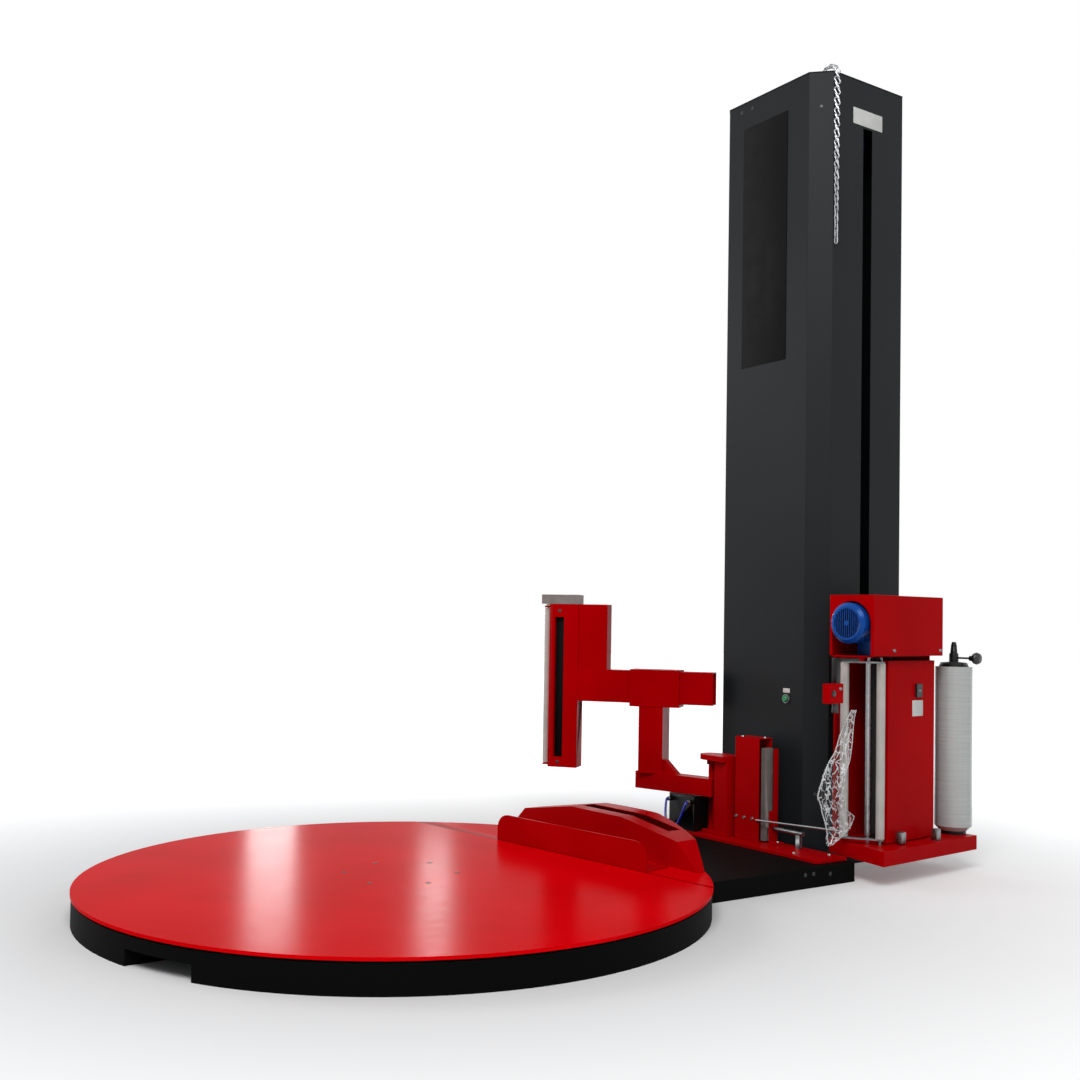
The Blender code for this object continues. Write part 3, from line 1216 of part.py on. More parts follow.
def build_wiper_head():
    """The sliding tube with the upright channel and its box welded to its outer end."""
    half = TUBE_HALF_WIDTH
    tube_body = box("wiper_head", (TUBE_X[0], -half, TUBE_Z[0]), (TUBE_X[1], half, TUBE_Z[1]), RED, HEAD)
    bore = box(
        "tube_bore", (TUBE_X[0] - 0.01, -half + TUBE_WALL, TUBE_Z[0] + TUBE_WALL),
        (TUBE_X[1] - 0.02, half - TUBE_WALL, TUBE_Z[1] - TUBE_WALL), carrier=HEAD, helper=True,
    )
    cut(tube_body, bore)
    channel_low = (HEAD_X[0] - 0.001, -0.035, HEAD_Z[0])
    channel = box("head_channel", channel_low, (HEAD_X[1], 0.035, HEAD_Z[1]), carrier=HEAD, helper=True)
    side_low = (HEAD_BOX_X[0], -0.030, TUBE_Z[1] - 0.001)
    side_box = box("head_box", side_low, (HEAD_BOX_X[1], 0.030, HEAD_BOX_Z[1]), carrier=HEAD, helper=True)
    slot = box("head_slot", (0.316, -0.033, 0.281), (0.349, 0.050, 0.770), carrier=HEAD, helper=True)
    join(tube_body, channel, side_box)
    cut(tube_body, slot)
    for z0, z1 in ((HEAD_Z[0] + 0.0045, HEAD_Z[0] + 0.0105), (HEAD_Z[1] - 0.012, HEAD_Z[1] - 0.006)):
        ear_high = (WIPER_ROLLER_X + 0.010, 0.012, z1)
        ear = box(f"roller_ear_{z0:.3f}", (HEAD_X[1] - 0.002, -0.012, z0), ear_high, carrier=HEAD, helper=True)
        join(tube_body, ear)
    cap_low = (HEAD_CAP_X[0], -0.035, HEAD_Z[1] + GAP)
    box("head_cap", cap_low, (HEAD_CAP_X[1], 0.035, HEAD_CAP_TOP), GREY_PLASTIC, HEAD)
    height = HEAD_Z[1] - HEAD_Z[0] - 0.002
    journal = cylinder(
        "wiper_journal_bore", 0.0043, (WIPER_ROLLER_X, 0, HEAD_Z[0]), height, carrier=HEAD, helper=True, segments=16
    )
    cut(tube_body, journal)
    axis = frame("wiper_roller_axis", (WIPER_ROLLER_X, 0, 0), 0.0, HEAD)
    low = HEAD_Z[0] + 0.012
    high = HEAD_Z[1] - 0.0135
    profile = bar_profile(WIPER_ROLLER_RADIUS, low, high, 0.004, 0.0065, 0.0065)
    turned("wiper_roller", profile, (0, 0, 0), RUBBER, axis, segments=20)


TABLE = frame("turntable_axis", (0.0, 0.0, 0.0))
FENCE_SEAT = frame("fence_seat", (*FENCE_CENTRE, 0.0), FENCE_YAW, TABLE)
CARRIAGE = frame("carriage_slide", (*CARRIAGE_CORNER, 0.0), CARRIAGE_YAW)
ARM = frame("swing_arm_axis", (*PIVOT, 0.0), ARM_YAW)
HEAD = frame("wiper_head_slide", (ARM_REACH, 0.0, 0.0), HEAD_YAW, ARM)

build_base_ring()
build_fork_channels()
build_hub_frame()
build_support_rollers()
build_deck_frame()
build_clamp_plate()
build_disc()
build_table_sprocket()
build_hood()
build_fence()
build_mast()
build_mast_cap()
build_rear_door()
build_start_button()
build_lift()
build_table_drive()
build_hanging_chain()
build_pivot_post()
build_swing_actuator()
build_air_hose()
build_clamp()
build_carriage_plate()
build_carriage_frame()
build_housing()
build_stretch_motor()
build_rollers()
build_dancer()
build_roller_door()
build_film_roll()
build_photocell()
build_film_tail()
build_swing_arm()
build_wiper_head()
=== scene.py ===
import json
from math import cos, pi, radians, sin

import bmesh
import bpy
from bpy.props import FloatProperty, FloatVectorProperty, IntProperty, PointerProperty, StringProperty
from mathutils import Matrix, Vector, noise


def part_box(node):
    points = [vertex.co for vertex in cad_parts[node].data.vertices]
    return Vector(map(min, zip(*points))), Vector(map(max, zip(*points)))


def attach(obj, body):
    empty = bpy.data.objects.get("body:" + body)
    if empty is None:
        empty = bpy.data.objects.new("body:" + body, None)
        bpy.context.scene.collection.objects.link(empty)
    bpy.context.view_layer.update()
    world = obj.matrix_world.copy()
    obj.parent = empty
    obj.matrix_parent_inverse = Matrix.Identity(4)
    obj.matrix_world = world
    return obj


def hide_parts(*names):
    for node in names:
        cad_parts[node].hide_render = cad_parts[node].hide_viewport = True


bl_info = {
    "name": "Pallet wrapper finish", "version": (1, 0, 0), "blender": (4, 5, 0),
    "location": "3D View > Sidebar > Wrapper",
    "description": "Finishes a turntable pallet wrapper: sheet metal, enamel, fasteners, chain and film",
    "category": "Add Mesh",
}

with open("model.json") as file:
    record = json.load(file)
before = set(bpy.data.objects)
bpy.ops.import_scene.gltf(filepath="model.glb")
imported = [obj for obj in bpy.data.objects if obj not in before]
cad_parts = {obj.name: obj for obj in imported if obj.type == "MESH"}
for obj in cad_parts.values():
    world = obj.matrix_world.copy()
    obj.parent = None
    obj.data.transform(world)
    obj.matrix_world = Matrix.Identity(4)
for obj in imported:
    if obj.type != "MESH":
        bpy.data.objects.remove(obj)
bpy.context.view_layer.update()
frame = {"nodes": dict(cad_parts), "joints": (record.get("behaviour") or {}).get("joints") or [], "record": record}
RECORD = frame["record"]
JOINTS = {joint["name"]: joint for joint in frame["joints"]}
BODY_OF = {node: body for body, nodes in RECORD["behaviour"]["bodies"].items() for node in nodes}


# ---- Places, worked out from the frame ----
def joint_point(name):
    return Vector(JOINTS[name]["pos_m"])


def joint_axis(name):
    return Vector(JOINTS[name]["axis"]).normalized()


def node_box(name):
    low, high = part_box(name)
    return Vector(low), Vector(high)


def node_middle(name):
    low, high = node_box(name)
    return (low + high) / 2


def local_box(into, name):
    """A node's lowest and highest corners in a frame such as the carriage's."""
    back = into.inverted()
    points = [back @ vertex.co for vertex in frame["nodes"][name].data.vertices]
    return [Vector([limit(point[axis] for point in points) for axis in range(3)]) for limit in (min, max)]


def aimed(place, aim):
    """A frame at a place whose z axis points along aim."""
    return Matrix.Translation(place) @ Vector(aim).to_track_quat("Z", "Y").to_matrix().to_4x4()


def level_frame_at(joint, along):
    """An upright frame on the floor under a joint, its x axis along another joint's axis."""
    place, aim = joint_point(joint), joint_axis(along)
    x = Vector((aim.x, aim.y, 0)).normalized()
    turn = Matrix((x, (-x.y, x.x, 0), (0, 0, 1))).transposed().to_4x4()
    return Matrix.Translation((place.x, place.y, 0)) @ turn


CARRIAGE = level_frame_at("film_roll_spin", "motor_fan_spin")
HEAD = level_frame_at("wiper_roller_spin", "head_reach")
MAST_LOW, MAST_HIGH = node_box("mast_column")


# ---- Colour and material helpers ----
def linear(code):
    """An sRGB hex colour as linear red, green, blue and alpha."""
    values = [int(code[place : place + 2], 16) / 255 for place in (1, 3, 5)]
    return [v / 12.92 if v <= 0.04045 else ((v + 0.055) / 1.055) ** 2.4 for v in values] + [1.0]


def node(tree, kind, settings=None, inputs=None):
    """Adds a node; inputs holds values, sockets to link from, or nodes, whose first output is linked."""
    made = tree.nodes.new(kind)
    for name, value in (settings or {}).items():
        setattr(made, name, value)
    for name, value in (inputs or {}).items():
        socket = made.inputs[name]
        if isinstance(value, bpy.types.Node):
            value = value.outputs[0]
        if isinstance(value, bpy.types.NodeSocket):
            tree.links.new(value, socket)
        else:
            socket.default_value = value
    return made


def blank_material(name):
    """A new material, its tree, and the coordinates of the piece that it covers."""
    made = bpy.data.materials.new(name)
    made.use_nodes = True
    made.node_tree.nodes.clear()
    return made, made.node_tree, node(made.node_tree, "ShaderNodeTexCoord").outputs["Object"]


def covered(made, shader):
    """Ends a material with the shader that makes its surface."""
    node(made.node_tree, "ShaderNodeOutputMaterial", inputs={"Surface": shader})
    return made


def clouded_tone(tree, place, scale, detail, deep, colour, low=0.3):
    """A colour that drifts between two tones over the piece, because no real coat is quite even."""
    clouds = node(tree, "ShaderNodeTexNoise", inputs={"Vector": place, "Scale": scale, "Detail": detail})
    share = node(tree, "ShaderNodeMapRange", inputs={"Value": clouds, "From Min": low, "From Max": 1.0 - low})
    mixed = node(tree, "ShaderNodeMix", {"data_type": "RGBA"}, {0: share, 6: linear(deep), 7: linear(colour)})
    return mixed.outputs[2]


def grained(tree, place, grain_mm, detail, strength, depth):
    """A fine grain of a real size in millimetres, and the bump that it raises."""
    scale = 1000.0 / grain_mm
    grain = node(tree, "ShaderNodeTexNoise", inputs={"Vector": place, "Scale": scale, "Detail": detail})
    return grain, node(
        tree, "ShaderNodeBump", inputs={"Height": grain, "Strength": strength, "Distance": depth},
    )


def enamel(name, colour, deep, roughness, peel_mm, peel_depth, shine, tint="#FFFFFF"):
    """Sprayed gloss paint: an even colour with faint clouds, orange peel and a few dull smears."""
    made, tree, place = blank_material(name)
    smears = node(tree, "ShaderNodeTexNoise", inputs={"Vector": place, "Scale": 22.0, "Detail": 6.0})
    rough = node(tree, "ShaderNodeMapRange", inputs={
        "Value": smears, "From Min": 0.35, "From Max": 0.75, "To Min": roughness, "To Max": roughness * 1.25,
    })
    return covered(made, node(tree, "ShaderNodeBsdfPrincipled", inputs={
        "Base Color": clouded_tone(tree, place, 4.0, 2.0, deep, colour), "Roughness": rough,
        "Normal": grained(tree, place, peel_mm, 1.0, 0.6, peel_depth)[1], "Specular IOR Level": shine,
        "Specular Tint": linear(tint),
    }))


def powder_coat(name, colour, deep, roughness, grain_mm, grain_depth, shine=0.12):
    """Baked powder coat: a satin skin with a fine even grain and a slow change of tone."""
    made, tree, place = blank_material(name)
    grain, bump = grained(tree, place, grain_mm, 2.0, 0.5, grain_depth)
    rough = node(
        tree, "ShaderNodeMapRange",
        inputs={
            "Value": grain, "From Min": 0.3, "From Max": 0.7, "To Min": roughness * 0.94,
            "To Max": roughness * 1.06,
        },
    )
    return covered(made, node(tree, "ShaderNodeBsdfPrincipled", inputs={
        "Base Color": clouded_tone(tree, place, 1.6, 2.0, deep, colour), "Roughness": rough, "Normal": bump,
        "Specular IOR Level": shine,
    }))


def metal(name, colour, deep, roughness, grain):
    """Bare metal: fine machining lines, set by the grain's scale along X, Y and Z, over a clouded tone."""
    made, tree, place = blank_material(name)
    stretched = node(tree, "ShaderNodeMapping", inputs={"Vector": place, "Scale": grain})
    lines = node(tree, "ShaderNodeTexNoise", inputs={"Vector": stretched, "Scale": 1.0, "Detail": 3.0})
    rough = node(
        tree, "ShaderNodeMapRange",
        inputs={
            "Value": lines, "From Min": 0.3, "From Max": 0.7, "To Min": roughness * 0.7,
            "To Max": roughness * 1.3,
        },
    )
    bump = node(tree, "ShaderNodeBump", inputs={"Height": lines, "Strength": 0.3, "Distance": 0.00005})
    return covered(
        made,
        node(
            tree, "ShaderNodeBsdfPrincipled",
            inputs={
                "Base Color": clouded_tone(tree, place, 40.0, 3.0, deep, colour, 0.35), "Roughness": rough,
                "Normal": bump, "Metallic": 1.0,
            },
        ),
    )


def moulded(name, colour, deep, roughness, grain_mm, grain_depth):
    """Moulded plastic or rubber: a fine grain from the mould and a slightly uneven tone."""
    made, tree, place = blank_material(name)
    return covered(made, node(tree, "ShaderNodeBsdfPrincipled", inputs={
        "Base Color": clouded_tone(tree, place, 25.0, 4.0, deep, colour), "Roughness": roughness,
        "Normal": grained(tree, place, grain_mm, 2.0, 0.5, grain_depth)[1],
    }))


def wound_film():
    """Layers of clear film on a roll: milky and glossy, with winding ridges, and faint upright stripes in its
    colour that are painted highlights.
    """
    made, tree, place = blank_material("wound_stretch_film")
    # Painted highlights: faint upright stripes that shift the film's colour; the level bands are its real winding
    # ridges.
    upright = node(tree, "ShaderNodeMapping", inputs={"Vector": place, "Scale": (70.0, 70.0, 1.5)})
    highlight_streaks = node(tree, "ShaderNodeTexNoise", inputs={"Vector": upright, "Scale": 1.0, "Detail": 2.0})
    level = node(tree, "ShaderNodeMapping", inputs={"Vector": place, "Scale": (6.0, 6.0, 260.0)})
    bands = node(tree, "ShaderNodeTexNoise", inputs={"Vector": level, "Scale": 1.0, "Detail": 4.0})
    mixed = node(tree, "ShaderNodeMath", {"operation": "MULTIPLY_ADD"}, {0: highlight_streaks, 1: 0.25, 2: bands})
    share = node(tree, "ShaderNodeMapRange", inputs={"Value": mixed, "From Min": 0.35, "From Max": 0.95})
    tones = {0: share, 6: linear("#A9AEAC"), 7: linear("#BFC4C1")}
    base = node(tree, "ShaderNodeMix", {"data_type": "RGBA"}, tones).outputs[2]
    bump = node(tree, "ShaderNodeBump", inputs={"Height": mixed, "Strength": 0.3, "Distance": 0.0006})
    return covered(made, node(tree, "ShaderNodeBsdfPrincipled", inputs={
        "Base Color": base, "Roughness": 0.26, "Normal": bump, "Coat Weight": 0.3, "Coat Roughness": 0.10,
        "Subsurface Weight": 0.15, "Subsurface Scale": 0.01,
    }))


def creased_layer(made, pattern, cover, colour, roughness, depth):
    """Clear film, white where a pattern creases it; cover holds the pattern's range and opacities."""
    tree = made.node_tree
    alpha = node(tree, "ShaderNodeMapRange", inputs={"Value": pattern, **cover})
    bump = node(tree, "ShaderNodeBump", inputs={"Height": pattern, "Strength": 1.0, "Distance": depth})
    return covered(made, node(tree, "ShaderNodeBsdfPrincipled", inputs={
        "Base Color": linear(colour), "Roughness": roughness, "Normal": bump, "Alpha": alpha,
    }))


def loose_film():
    """One thin clear polyethylene layer: nearly clear where it is flat, white along its creases."""
    made, tree, place = blank_material("loose_stretch_film")
    drift = node(tree, "ShaderNodeTexNoise", inputs={"Vector": place, "Scale": 30.0, "Detail": 3.0})
    bent = node(
        tree, "ShaderNodeVectorMath", {"operation": "MULTIPLY_ADD"},
        {0: drift.outputs["Color"], 1: (0.035, 0.035, 0.035), 2: place},
    )
    pulled = node(tree, "ShaderNodeMapping", inputs={"Vector": bent, "Scale": (60.0, 60.0, 26.0)})
    crease = node(
        tree, "ShaderNodeTexVoronoi", {"feature": "DISTANCE_TO_EDGE"}, {"Vector": pulled, "Scale": 1.0}
    ).outputs["Distance"]
    cover = {"From Min": 0.0, "From Max": 0.09, "To Min": 0.80, "To Max": 0.04}
    return creased_layer(made, crease, cover, "#F0F2F3", 0.16, 0.004)


def gathered_film():
    """Film bunched into a rope of many layers: milky white with bright ridges along it."""
    made, tree, place = blank_material("gathered_stretch_film")
    ridges = node(tree, "ShaderNodeTexNoise", inputs={"Vector": place, "Scale": 260.0, "Detail": 3.0})
    cover = {"From Min": 0.35, "From Max": 0.65, "To Min": 0.25, "To Max": 0.95}
    return creased_layer(made, ridges, cover, "#E9ECEC", 0.18, 0.002)


def make_finishes(colours):
    """Every finish on the machine, by the name that its pieces ask for."""
    red = colours.enamel
    return {
        # Two-part enamel over smooth sheet steel: mirror-like, with shallow orange peel.
        "red_enamel": enamel("signal_red_enamel", red, "#A80004", 0.30, 2.6, 0.00003, 0.03, "#FF1E18"),
        # The disc's thicker coat peels more coarsely and stays wet-looking.
        "disc_enamel": enamel("turntable_red_enamel", colours.disc, "#D60006", 0.19, 3.4, 0.00003, 0.003),
        # Epoxy powder: near-black with a soft sheen.
        "anthracite": powder_coat("anthracite_powder_coat", colours.mast, "#181B1D", 0.46, 1.4, 0.00004),
        "black_coat": powder_coat("black_powder_coat", "#0C0D0C", "#090A09", 0.55, 1.8, 0.00008, 0.02),
        # Brushed or sprayed black lacquer on machined parts: darker and glossier than the powder.
        "black_enamel": enamel("black_enamel", "#0D0D0E", "#080809", 0.28, 2.0, 0.00003, 0.25),
        # The satin black also makes the painted shade behind the fan guard and inside the wiper head's slot.
        "panel_black": enamel("panel_black_satin", "#09090B", "#070708", 0.45, 4.0, 0.00001, 0.08),
        # One-coat enamel over a casting: glossy, with bluish highlights.
        "blue_enamel": enamel(
            "motor_blue_enamel", colours.motor, "#053A86", 0.24, 2.2, 0.00004, 0.35, "#9CC4FF"
        ),
        # Ground bar: lines run round it, so its sheen is drawn out along its length.
        "ground_steel": metal("ground_steel", "#A9AAAC", "#97999C", 0.34, (60.0, 60.0, 400.0)),
        # Zinc layers: dull grey crystals on small parts, paler and finer on the wire.
        "zinc": metal("bright_zinc_plate", "#8F9192", "#6F7274", 0.38, (160.0, 160.0, 160.0)),
        "galvanised": metal("galvanised_wire", "#B9BCBE", "#8C9093", 0.38, (300.0, 300.0, 300.0)),
        # Rubbers and plastics keep the mould's fine grain, which spreads their highlights.
        "pale_roller": moulded("pale_polyurethane", "#BDBAB4", "#B0ADA7", 0.42, 3.0, 0.00005),
        "black_rubber": moulded("black_rubber", "#1B1B1B", "#101010", 0.62, 1.2, 0.00010),
        # The black polyamide also makes the flat discs of painted shade in the disc's bolt holes.
        "black_plastic": moulded("black_polyamide", "#1A1A1B", "#111112", 0.38, 0.9, 0.00005),
        "grey_plastic": moulded("grey_polyamide", "#88827E", "#746F6C", 0.45, 0.9, 0.00006),
        # Smooth-drawn hose and polished buttons: deep colour with a small sharp highlight.
        "hose_blue": moulded("blue_polyurethane", "#1226B4", "#0A1684", 0.18, 6.0, 0.00002),
        "button_green": moulded("button_green", "#0B8A50", "#066B3C", 0.25, 5.0, 0.00002),
        "button_red": moulded("button_red", "#C0141A", "#960C10", 0.28, 5.0, 0.00002),
        # Blank plates, the yellow washer and the sensor's dark glass.
        "pale_plate": moulded("engraving_plate_blank", "#D4D4CF", "#C4C5C1", 0.40, 3.0, 0.00002),
        "yellow_plastic": moulded("yellow_polyamide", "#E0A21A", "#BC8212", 0.35, 2.0, 0.00003),
        "sensor_glass": enamel("dark_sensor_lens", "#1A0508", "#0B0203", 0.06, 6.0, 0.00001, 0.5),
        # Stretch film, wound, loose and bunched: the more layers, the milkier.
        "wound_film": wound_film(),
        "loose_film": loose_film(),
        "gathered_film": gathered_film(),
    }


FINISHES = {}


# ---- Mesh helpers ----
def link(name, data):
    """A new object in the scene, at the origin."""
    obj = bpy.data.objects.new(name, data)
    bpy.context.scene.collection.objects.link(obj)
    return obj


def evaluated_mesh(obj):
    """An object's mesh with its modifiers applied; the object is removed."""
    bpy.context.view_layer.update()
    graph = bpy.context.evaluated_depsgraph_get()
    mesh = bpy.data.meshes.new_from_object(obj.evaluated_get(graph), depsgraph=graph)
    bpy.data.objects.remove(obj)
    return mesh


def settle(obj, finish, body, stands_for=()):
    """Gives a finished piece its material and its body, and hides the CAD nodes that it stands for."""
    obj.data.materials.clear()
    obj.data.materials.append(FINISHES[finish])
    obj.data.polygons.foreach_set("material_index", [0] * len(obj.data.polygons))
    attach(obj, body)
    if stands_for:
        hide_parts(*stands_for)
    return obj


def shaded(name, work, angle=35):
    """A working mesh as an object, with smooth faces and sharp edges past an angle."""
    mesh = bpy.data.meshes.new(name)
    work.to_mesh(mesh)
    work.free()
    mesh.shade_smooth()
    mesh.set_sharp_from_angle(angle=radians(angle))
    return link(name, mesh)


ROUNDED_FROM = radians(30)  # edges that turn less than this are left sharp
WELD = 0.00002  # corners closer than this are one
FLAT = radians(0.6)  # faces that turn less than this are one


def round_edges(work, width, segments, shortest=0.0):
    edges = [
        edge for edge in work.edges
        if len(edge.link_faces) == 2 and edge.calc_face_angle(0.0) > ROUNDED_FROM
        and edge.calc_length() > shortest
    ]
    if edges and width:
        bmesh.ops.bevel(
            work, geom=edges, offset=width, offset_type="OFFSET", segments=segments, profile=0.5,
            affect="EDGES", clamp_overlap=True,
        )


def merged_copy(name):
    """A CAD node's mesh with its loose triangles merged and its flat faces whole."""
    work = bmesh.new()
    work.from_mesh(frame["nodes"][name].data)
    bmesh.ops.remove_doubles(work, verts=work.verts, dist=WELD)
    bmesh.ops.dissolve_limit(work, angle_limit=FLAT, verts=work.verts, edges=work.edges)
    return work


def refine(name, finish, width=0.0, segments=2, shortest=0.004, angle=35):
    """A CAD node's shape with rounded edges and smooth round faces."""
    work = merged_copy(name)
    round_edges(work, width, segments, shortest)
    finished = name + "_finished"
    obj = shaded(finished, work, angle)
    if width:
        obj.modifiers.new("face normals", "WEIGHTED_NORMAL").keep_sharp = True
        obj = link(finished, evaluated_mesh(obj))
    return settle(obj, finish, BODY_OF[name], (name,))


def block(name, size, place, finish, body, width=0.001, segments=2, into=Matrix.Identity(4)):
    """A solid block with rounded edges, in a frame of its own."""
    work = bmesh.new()
    bmesh.ops.create_cube(work, size=1.0, matrix=Matrix.Translation(place) @ Matrix.Diagonal((*size, 1)))
    round_edges(work, width, segments)
    bmesh.ops.transform(work, matrix=into, verts=work.verts)
    return settle(shaded(name, work), finish, body)


def lathe(name, profile, into, finish, body, segments=32):
    """A profile of (radius, height) points, bottom to top, turned about a frame's z axis and closed."""
    work = bmesh.new()
    rings = []
    for radius, height in profile:
        turns = [2 * pi * k / segments for k in range(segments if radius else 1)]
        rings.append([work.verts.new((radius * cos(turn), radius * sin(turn), height)) for turn in turns])
    for low, high in zip(rings, rings[1:]):
        for k in range(segments):
            after = (k + 1) % segments
            corners = [low[k % len(low)], low[after % len(low)], high[after % len(high)], high[k % len(high)]]
            face = list(dict.fromkeys(corners))
            if len(face) > 2:
                work.faces.new(face)
    bmesh.ops.recalc_face_normals(work, faces=work.faces)
    bmesh.ops.transform(work, matrix=into, verts=work.verts)
    return settle(shaded(name, work), finish, body)


# ---- Geometry Nodes trees ----
TIMES, LESS = {"operation": "MULTIPLY"}, {"operation": "SUBTRACT"}


def new_tree(name, sizes):
    """A geometry tree with a mesh or curve in, named sizes and a material, and a mesh out."""
    tree = bpy.data.node_groups.new(name, "GeometryNodeTree")
    tree.interface.new_socket("Geometry", in_out="INPUT", socket_type="NodeSocketGeometry")
    for label, default in sizes.items():
        kind = "NodeSocketInt" if isinstance(default, int) else "NodeSocketFloat"
        socket = tree.interface.new_socket(label, in_out="INPUT", socket_type=kind)
        socket.default_value = default
    tree.interface.new_socket("Material", in_out="INPUT", socket_type="NodeSocketMaterial")
    tree.interface.new_socket("Geometry", in_out="OUTPUT", socket_type="NodeSocketGeometry")
    return tree, node(tree, "NodeGroupInput").outputs


def close_tree(tree, given, placing, smooth=False):
    """Puts copies on their points, makes them real and gives them their material."""
    shown = node(tree, "GeometryNodeInstanceOnPoints", inputs=placing)
    if smooth:
        shown = node(tree, "GeometryNodeSetShadeSmooth", inputs={"Geometry": shown, "Shade Smooth": True})
    real = node(tree, "GeometryNodeRealizeInstances", inputs={"Geometry": shown})
    painted = node(tree, "GeometryNodeSetMaterial", inputs={"Geometry": real, "Material": given["Material"]})
    node(tree, "NodeGroupOutput", inputs={"Geometry": painted})
    return tree


def screw_tree():
    """A button-head screw with a socket in its crown at each point, its axis along the point's aim."""
    tree, given = new_tree(
        "button_head_screws",
        {"Head Radius": 0.006, "Head Height": 0.0035, "Socket Scale": 0.45, "Socket Depth": 0.002},
    )
    head = node(
        tree, "GeometryNodeMeshCylinder", {"fill_type": "NGON"},
        {"Vertices": 18, "Radius": given["Head Radius"], "Depth": given["Head Height"]},
    )
    crown = node(
        tree, "GeometryNodeScaleElements",
        inputs={"Geometry": head, "Selection": head.outputs["Top"], "Scale": 0.74},
    )
    rim = node(
        tree, "GeometryNodeExtrudeMesh", {"mode": "FACES"},
        {"Mesh": crown, "Selection": head.outputs["Top"], "Offset Scale": 0.0},
    )
    mouth = node(
        tree, "GeometryNodeScaleElements",
        inputs={"Geometry": rim, "Selection": rim.outputs["Top"], "Scale": given["Socket Scale"]},
    )
    depth = node(tree, "ShaderNodeMath", TIMES, {0: given["Socket Depth"], 1: -1.0})
    socket = node(
        tree, "GeometryNodeExtrudeMesh", {"mode": "FACES"},
        {"Mesh": mouth, "Selection": rim.outputs["Top"], "Offset Scale": depth},
    )
    half = node(tree, "ShaderNodeMath", TIMES, {0: given["Head Height"], 1: 0.5})
    lift = node(tree, "ShaderNodeCombineXYZ", inputs={"Z": half})
    seated = node(tree, "GeometryNodeTransform", inputs={"Geometry": socket, "Translation": lift})
    aim = node(tree, "GeometryNodeInputNamedAttribute", {"data_type": "FLOAT_VECTOR"}, {"Name": "aim"})
    turn = node(tree, "FunctionNodeAlignRotationToVector", {"axis": "Z"}, {"Vector": aim})
    return close_tree(tree, given, {"Points": given["Geometry"], "Instance": seated, "Rotation": turn})


def link_tree():
    """Oval wire links along a path, each turned a quarter turn from the last."""
    tree, given = new_tree(
        "oval_chain_links", {"Link Length": 0.030, "Link Width": 0.016, "Wire Radius": 0.002, "Pitch": 0.026},
    )
    oval = node(
        tree, "GeometryNodeCurvePrimitiveQuadrilateral",
        inputs={"Width": given["Link Length"], "Height": given["Link Width"]},
    )
    corner = node(tree, "ShaderNodeMath", TIMES, {0: given["Link Width"], 1: 0.499})
    rounded = node(
        tree, "GeometryNodeFilletCurve", {"mode": "POLY"},
        {"Curve": oval, "Radius": corner, "Limit Radius": True, "Count": 4},
    )
    wire = node(
        tree, "GeometryNodeCurvePrimitiveCircle", inputs={"Resolution": 8, "Radius": given["Wire Radius"]}
    )
    body = node(tree, "GeometryNodeCurveToMesh", inputs={"Curve": rounded, "Profile Curve": wire})
    points = node(
        tree, "GeometryNodeCurveToPoints", {"mode": "LENGTH"},
        {"Curve": given["Geometry"], "Length": given["Pitch"]},
    )
    index = node(tree, "GeometryNodeInputIndex")
    quarter = node(tree, "ShaderNodeMath", TIMES, {0: index, 1: pi / 2})
    spin = node(tree, "ShaderNodeCombineXYZ", inputs={"X": quarter})
    along = node(
        tree, "FunctionNodeAlignRotationToVector", {"axis": "X"}, {"Vector": points.outputs["Tangent"]}
    )
    rolled = node(
        tree, "FunctionNodeRotateRotation", {"rotation_space": "LOCAL"},
        {"Rotation": along, "Rotate By": spin},
    )
    return close_tree(tree, given, {"Points": points, "Instance": body, "Rotation": rolled}, smooth=True)


def bars_tree():
    """Upright bars side by side that fill a circle, for a fan guard."""
    tree, given = new_tree(
        "bars_across_a_circle",
        {"Count": 11, "Radius": 0.043, "Pitch": 0.0075, "Bar Width": 0.0022, "Bar Depth": 0.0018},
    )
    gaps = node(tree, "ShaderNodeMath", LESS, {0: given["Count"], 1: 1.0})
    span = node(tree, "ShaderNodeMath", TIMES, {0: gaps, 1: given["Pitch"]})
    half = node(tree, "ShaderNodeMath", TIMES, {0: span, 1: -0.5})
    first = node(tree, "ShaderNodeCombineXYZ", inputs={"X": half})
    step = node(tree, "ShaderNodeCombineXYZ", inputs={"X": given["Pitch"]})
    line = node(
        tree, "GeometryNodeMeshLine",
        inputs={"Count": given["Count"], "Start Location": first, "Offset": step},
    )
    place = node(tree, "GeometryNodeInputPosition")
    across = node(tree, "ShaderNodeSeparateXYZ", inputs={"Vector": place})
    offset = node(tree, "ShaderNodeMath", TIMES, {0: across.outputs["X"], 1: across.outputs["X"]})
    radius = node(tree, "ShaderNodeMath", TIMES, {0: given["Radius"], 1: given["Radius"]})
    rest = node(tree, "ShaderNodeMath", LESS, {0: radius, 1: offset})
    chord = node(tree, "ShaderNodeMath", {"operation": "SQRT"}, {0: rest})
    full = node(tree, "ShaderNodeMath", TIMES, {0: chord, 1: 2.0})
    size = node(
        tree, "ShaderNodeCombineXYZ", inputs={"X": given["Bar Width"], "Y": full, "Z": given["Bar Depth"]},
    )
    bar = node(tree, "GeometryNodeMeshCube", inputs={"Size": (1.0, 1.0, 1.0)})
    return close_tree(tree, given, {"Points": line, "Instance": bar, "Scale": size})


def grown(name, source, tree, sizes, finish, body, into=None, stands_for=()):
    """Runs a geometry tree on a mesh or curve object and keeps its result as a plain mesh."""
    modifier = source.modifiers.new(tree.name, "NODES")
    modifier.node_group = tree
    sockets = {item.name: item.identifier for item in tree.interface.items_tree if item.in_out == "INPUT"}
    for label, value in {**sizes, "Material": FINISHES[finish]}.items():
        modifier[sockets[label]] = value
    mesh = evaluated_mesh(source)
    if not mesh.polygons:
        raise RuntimeError(f"{name}: the geometry tree made no faces")
    if into:
        mesh.transform(into)
    mesh.shade_smooth()
    mesh.set_sharp_from_angle(angle=radians(35))
    return settle(link(name, mesh), finish, body, stands_for)


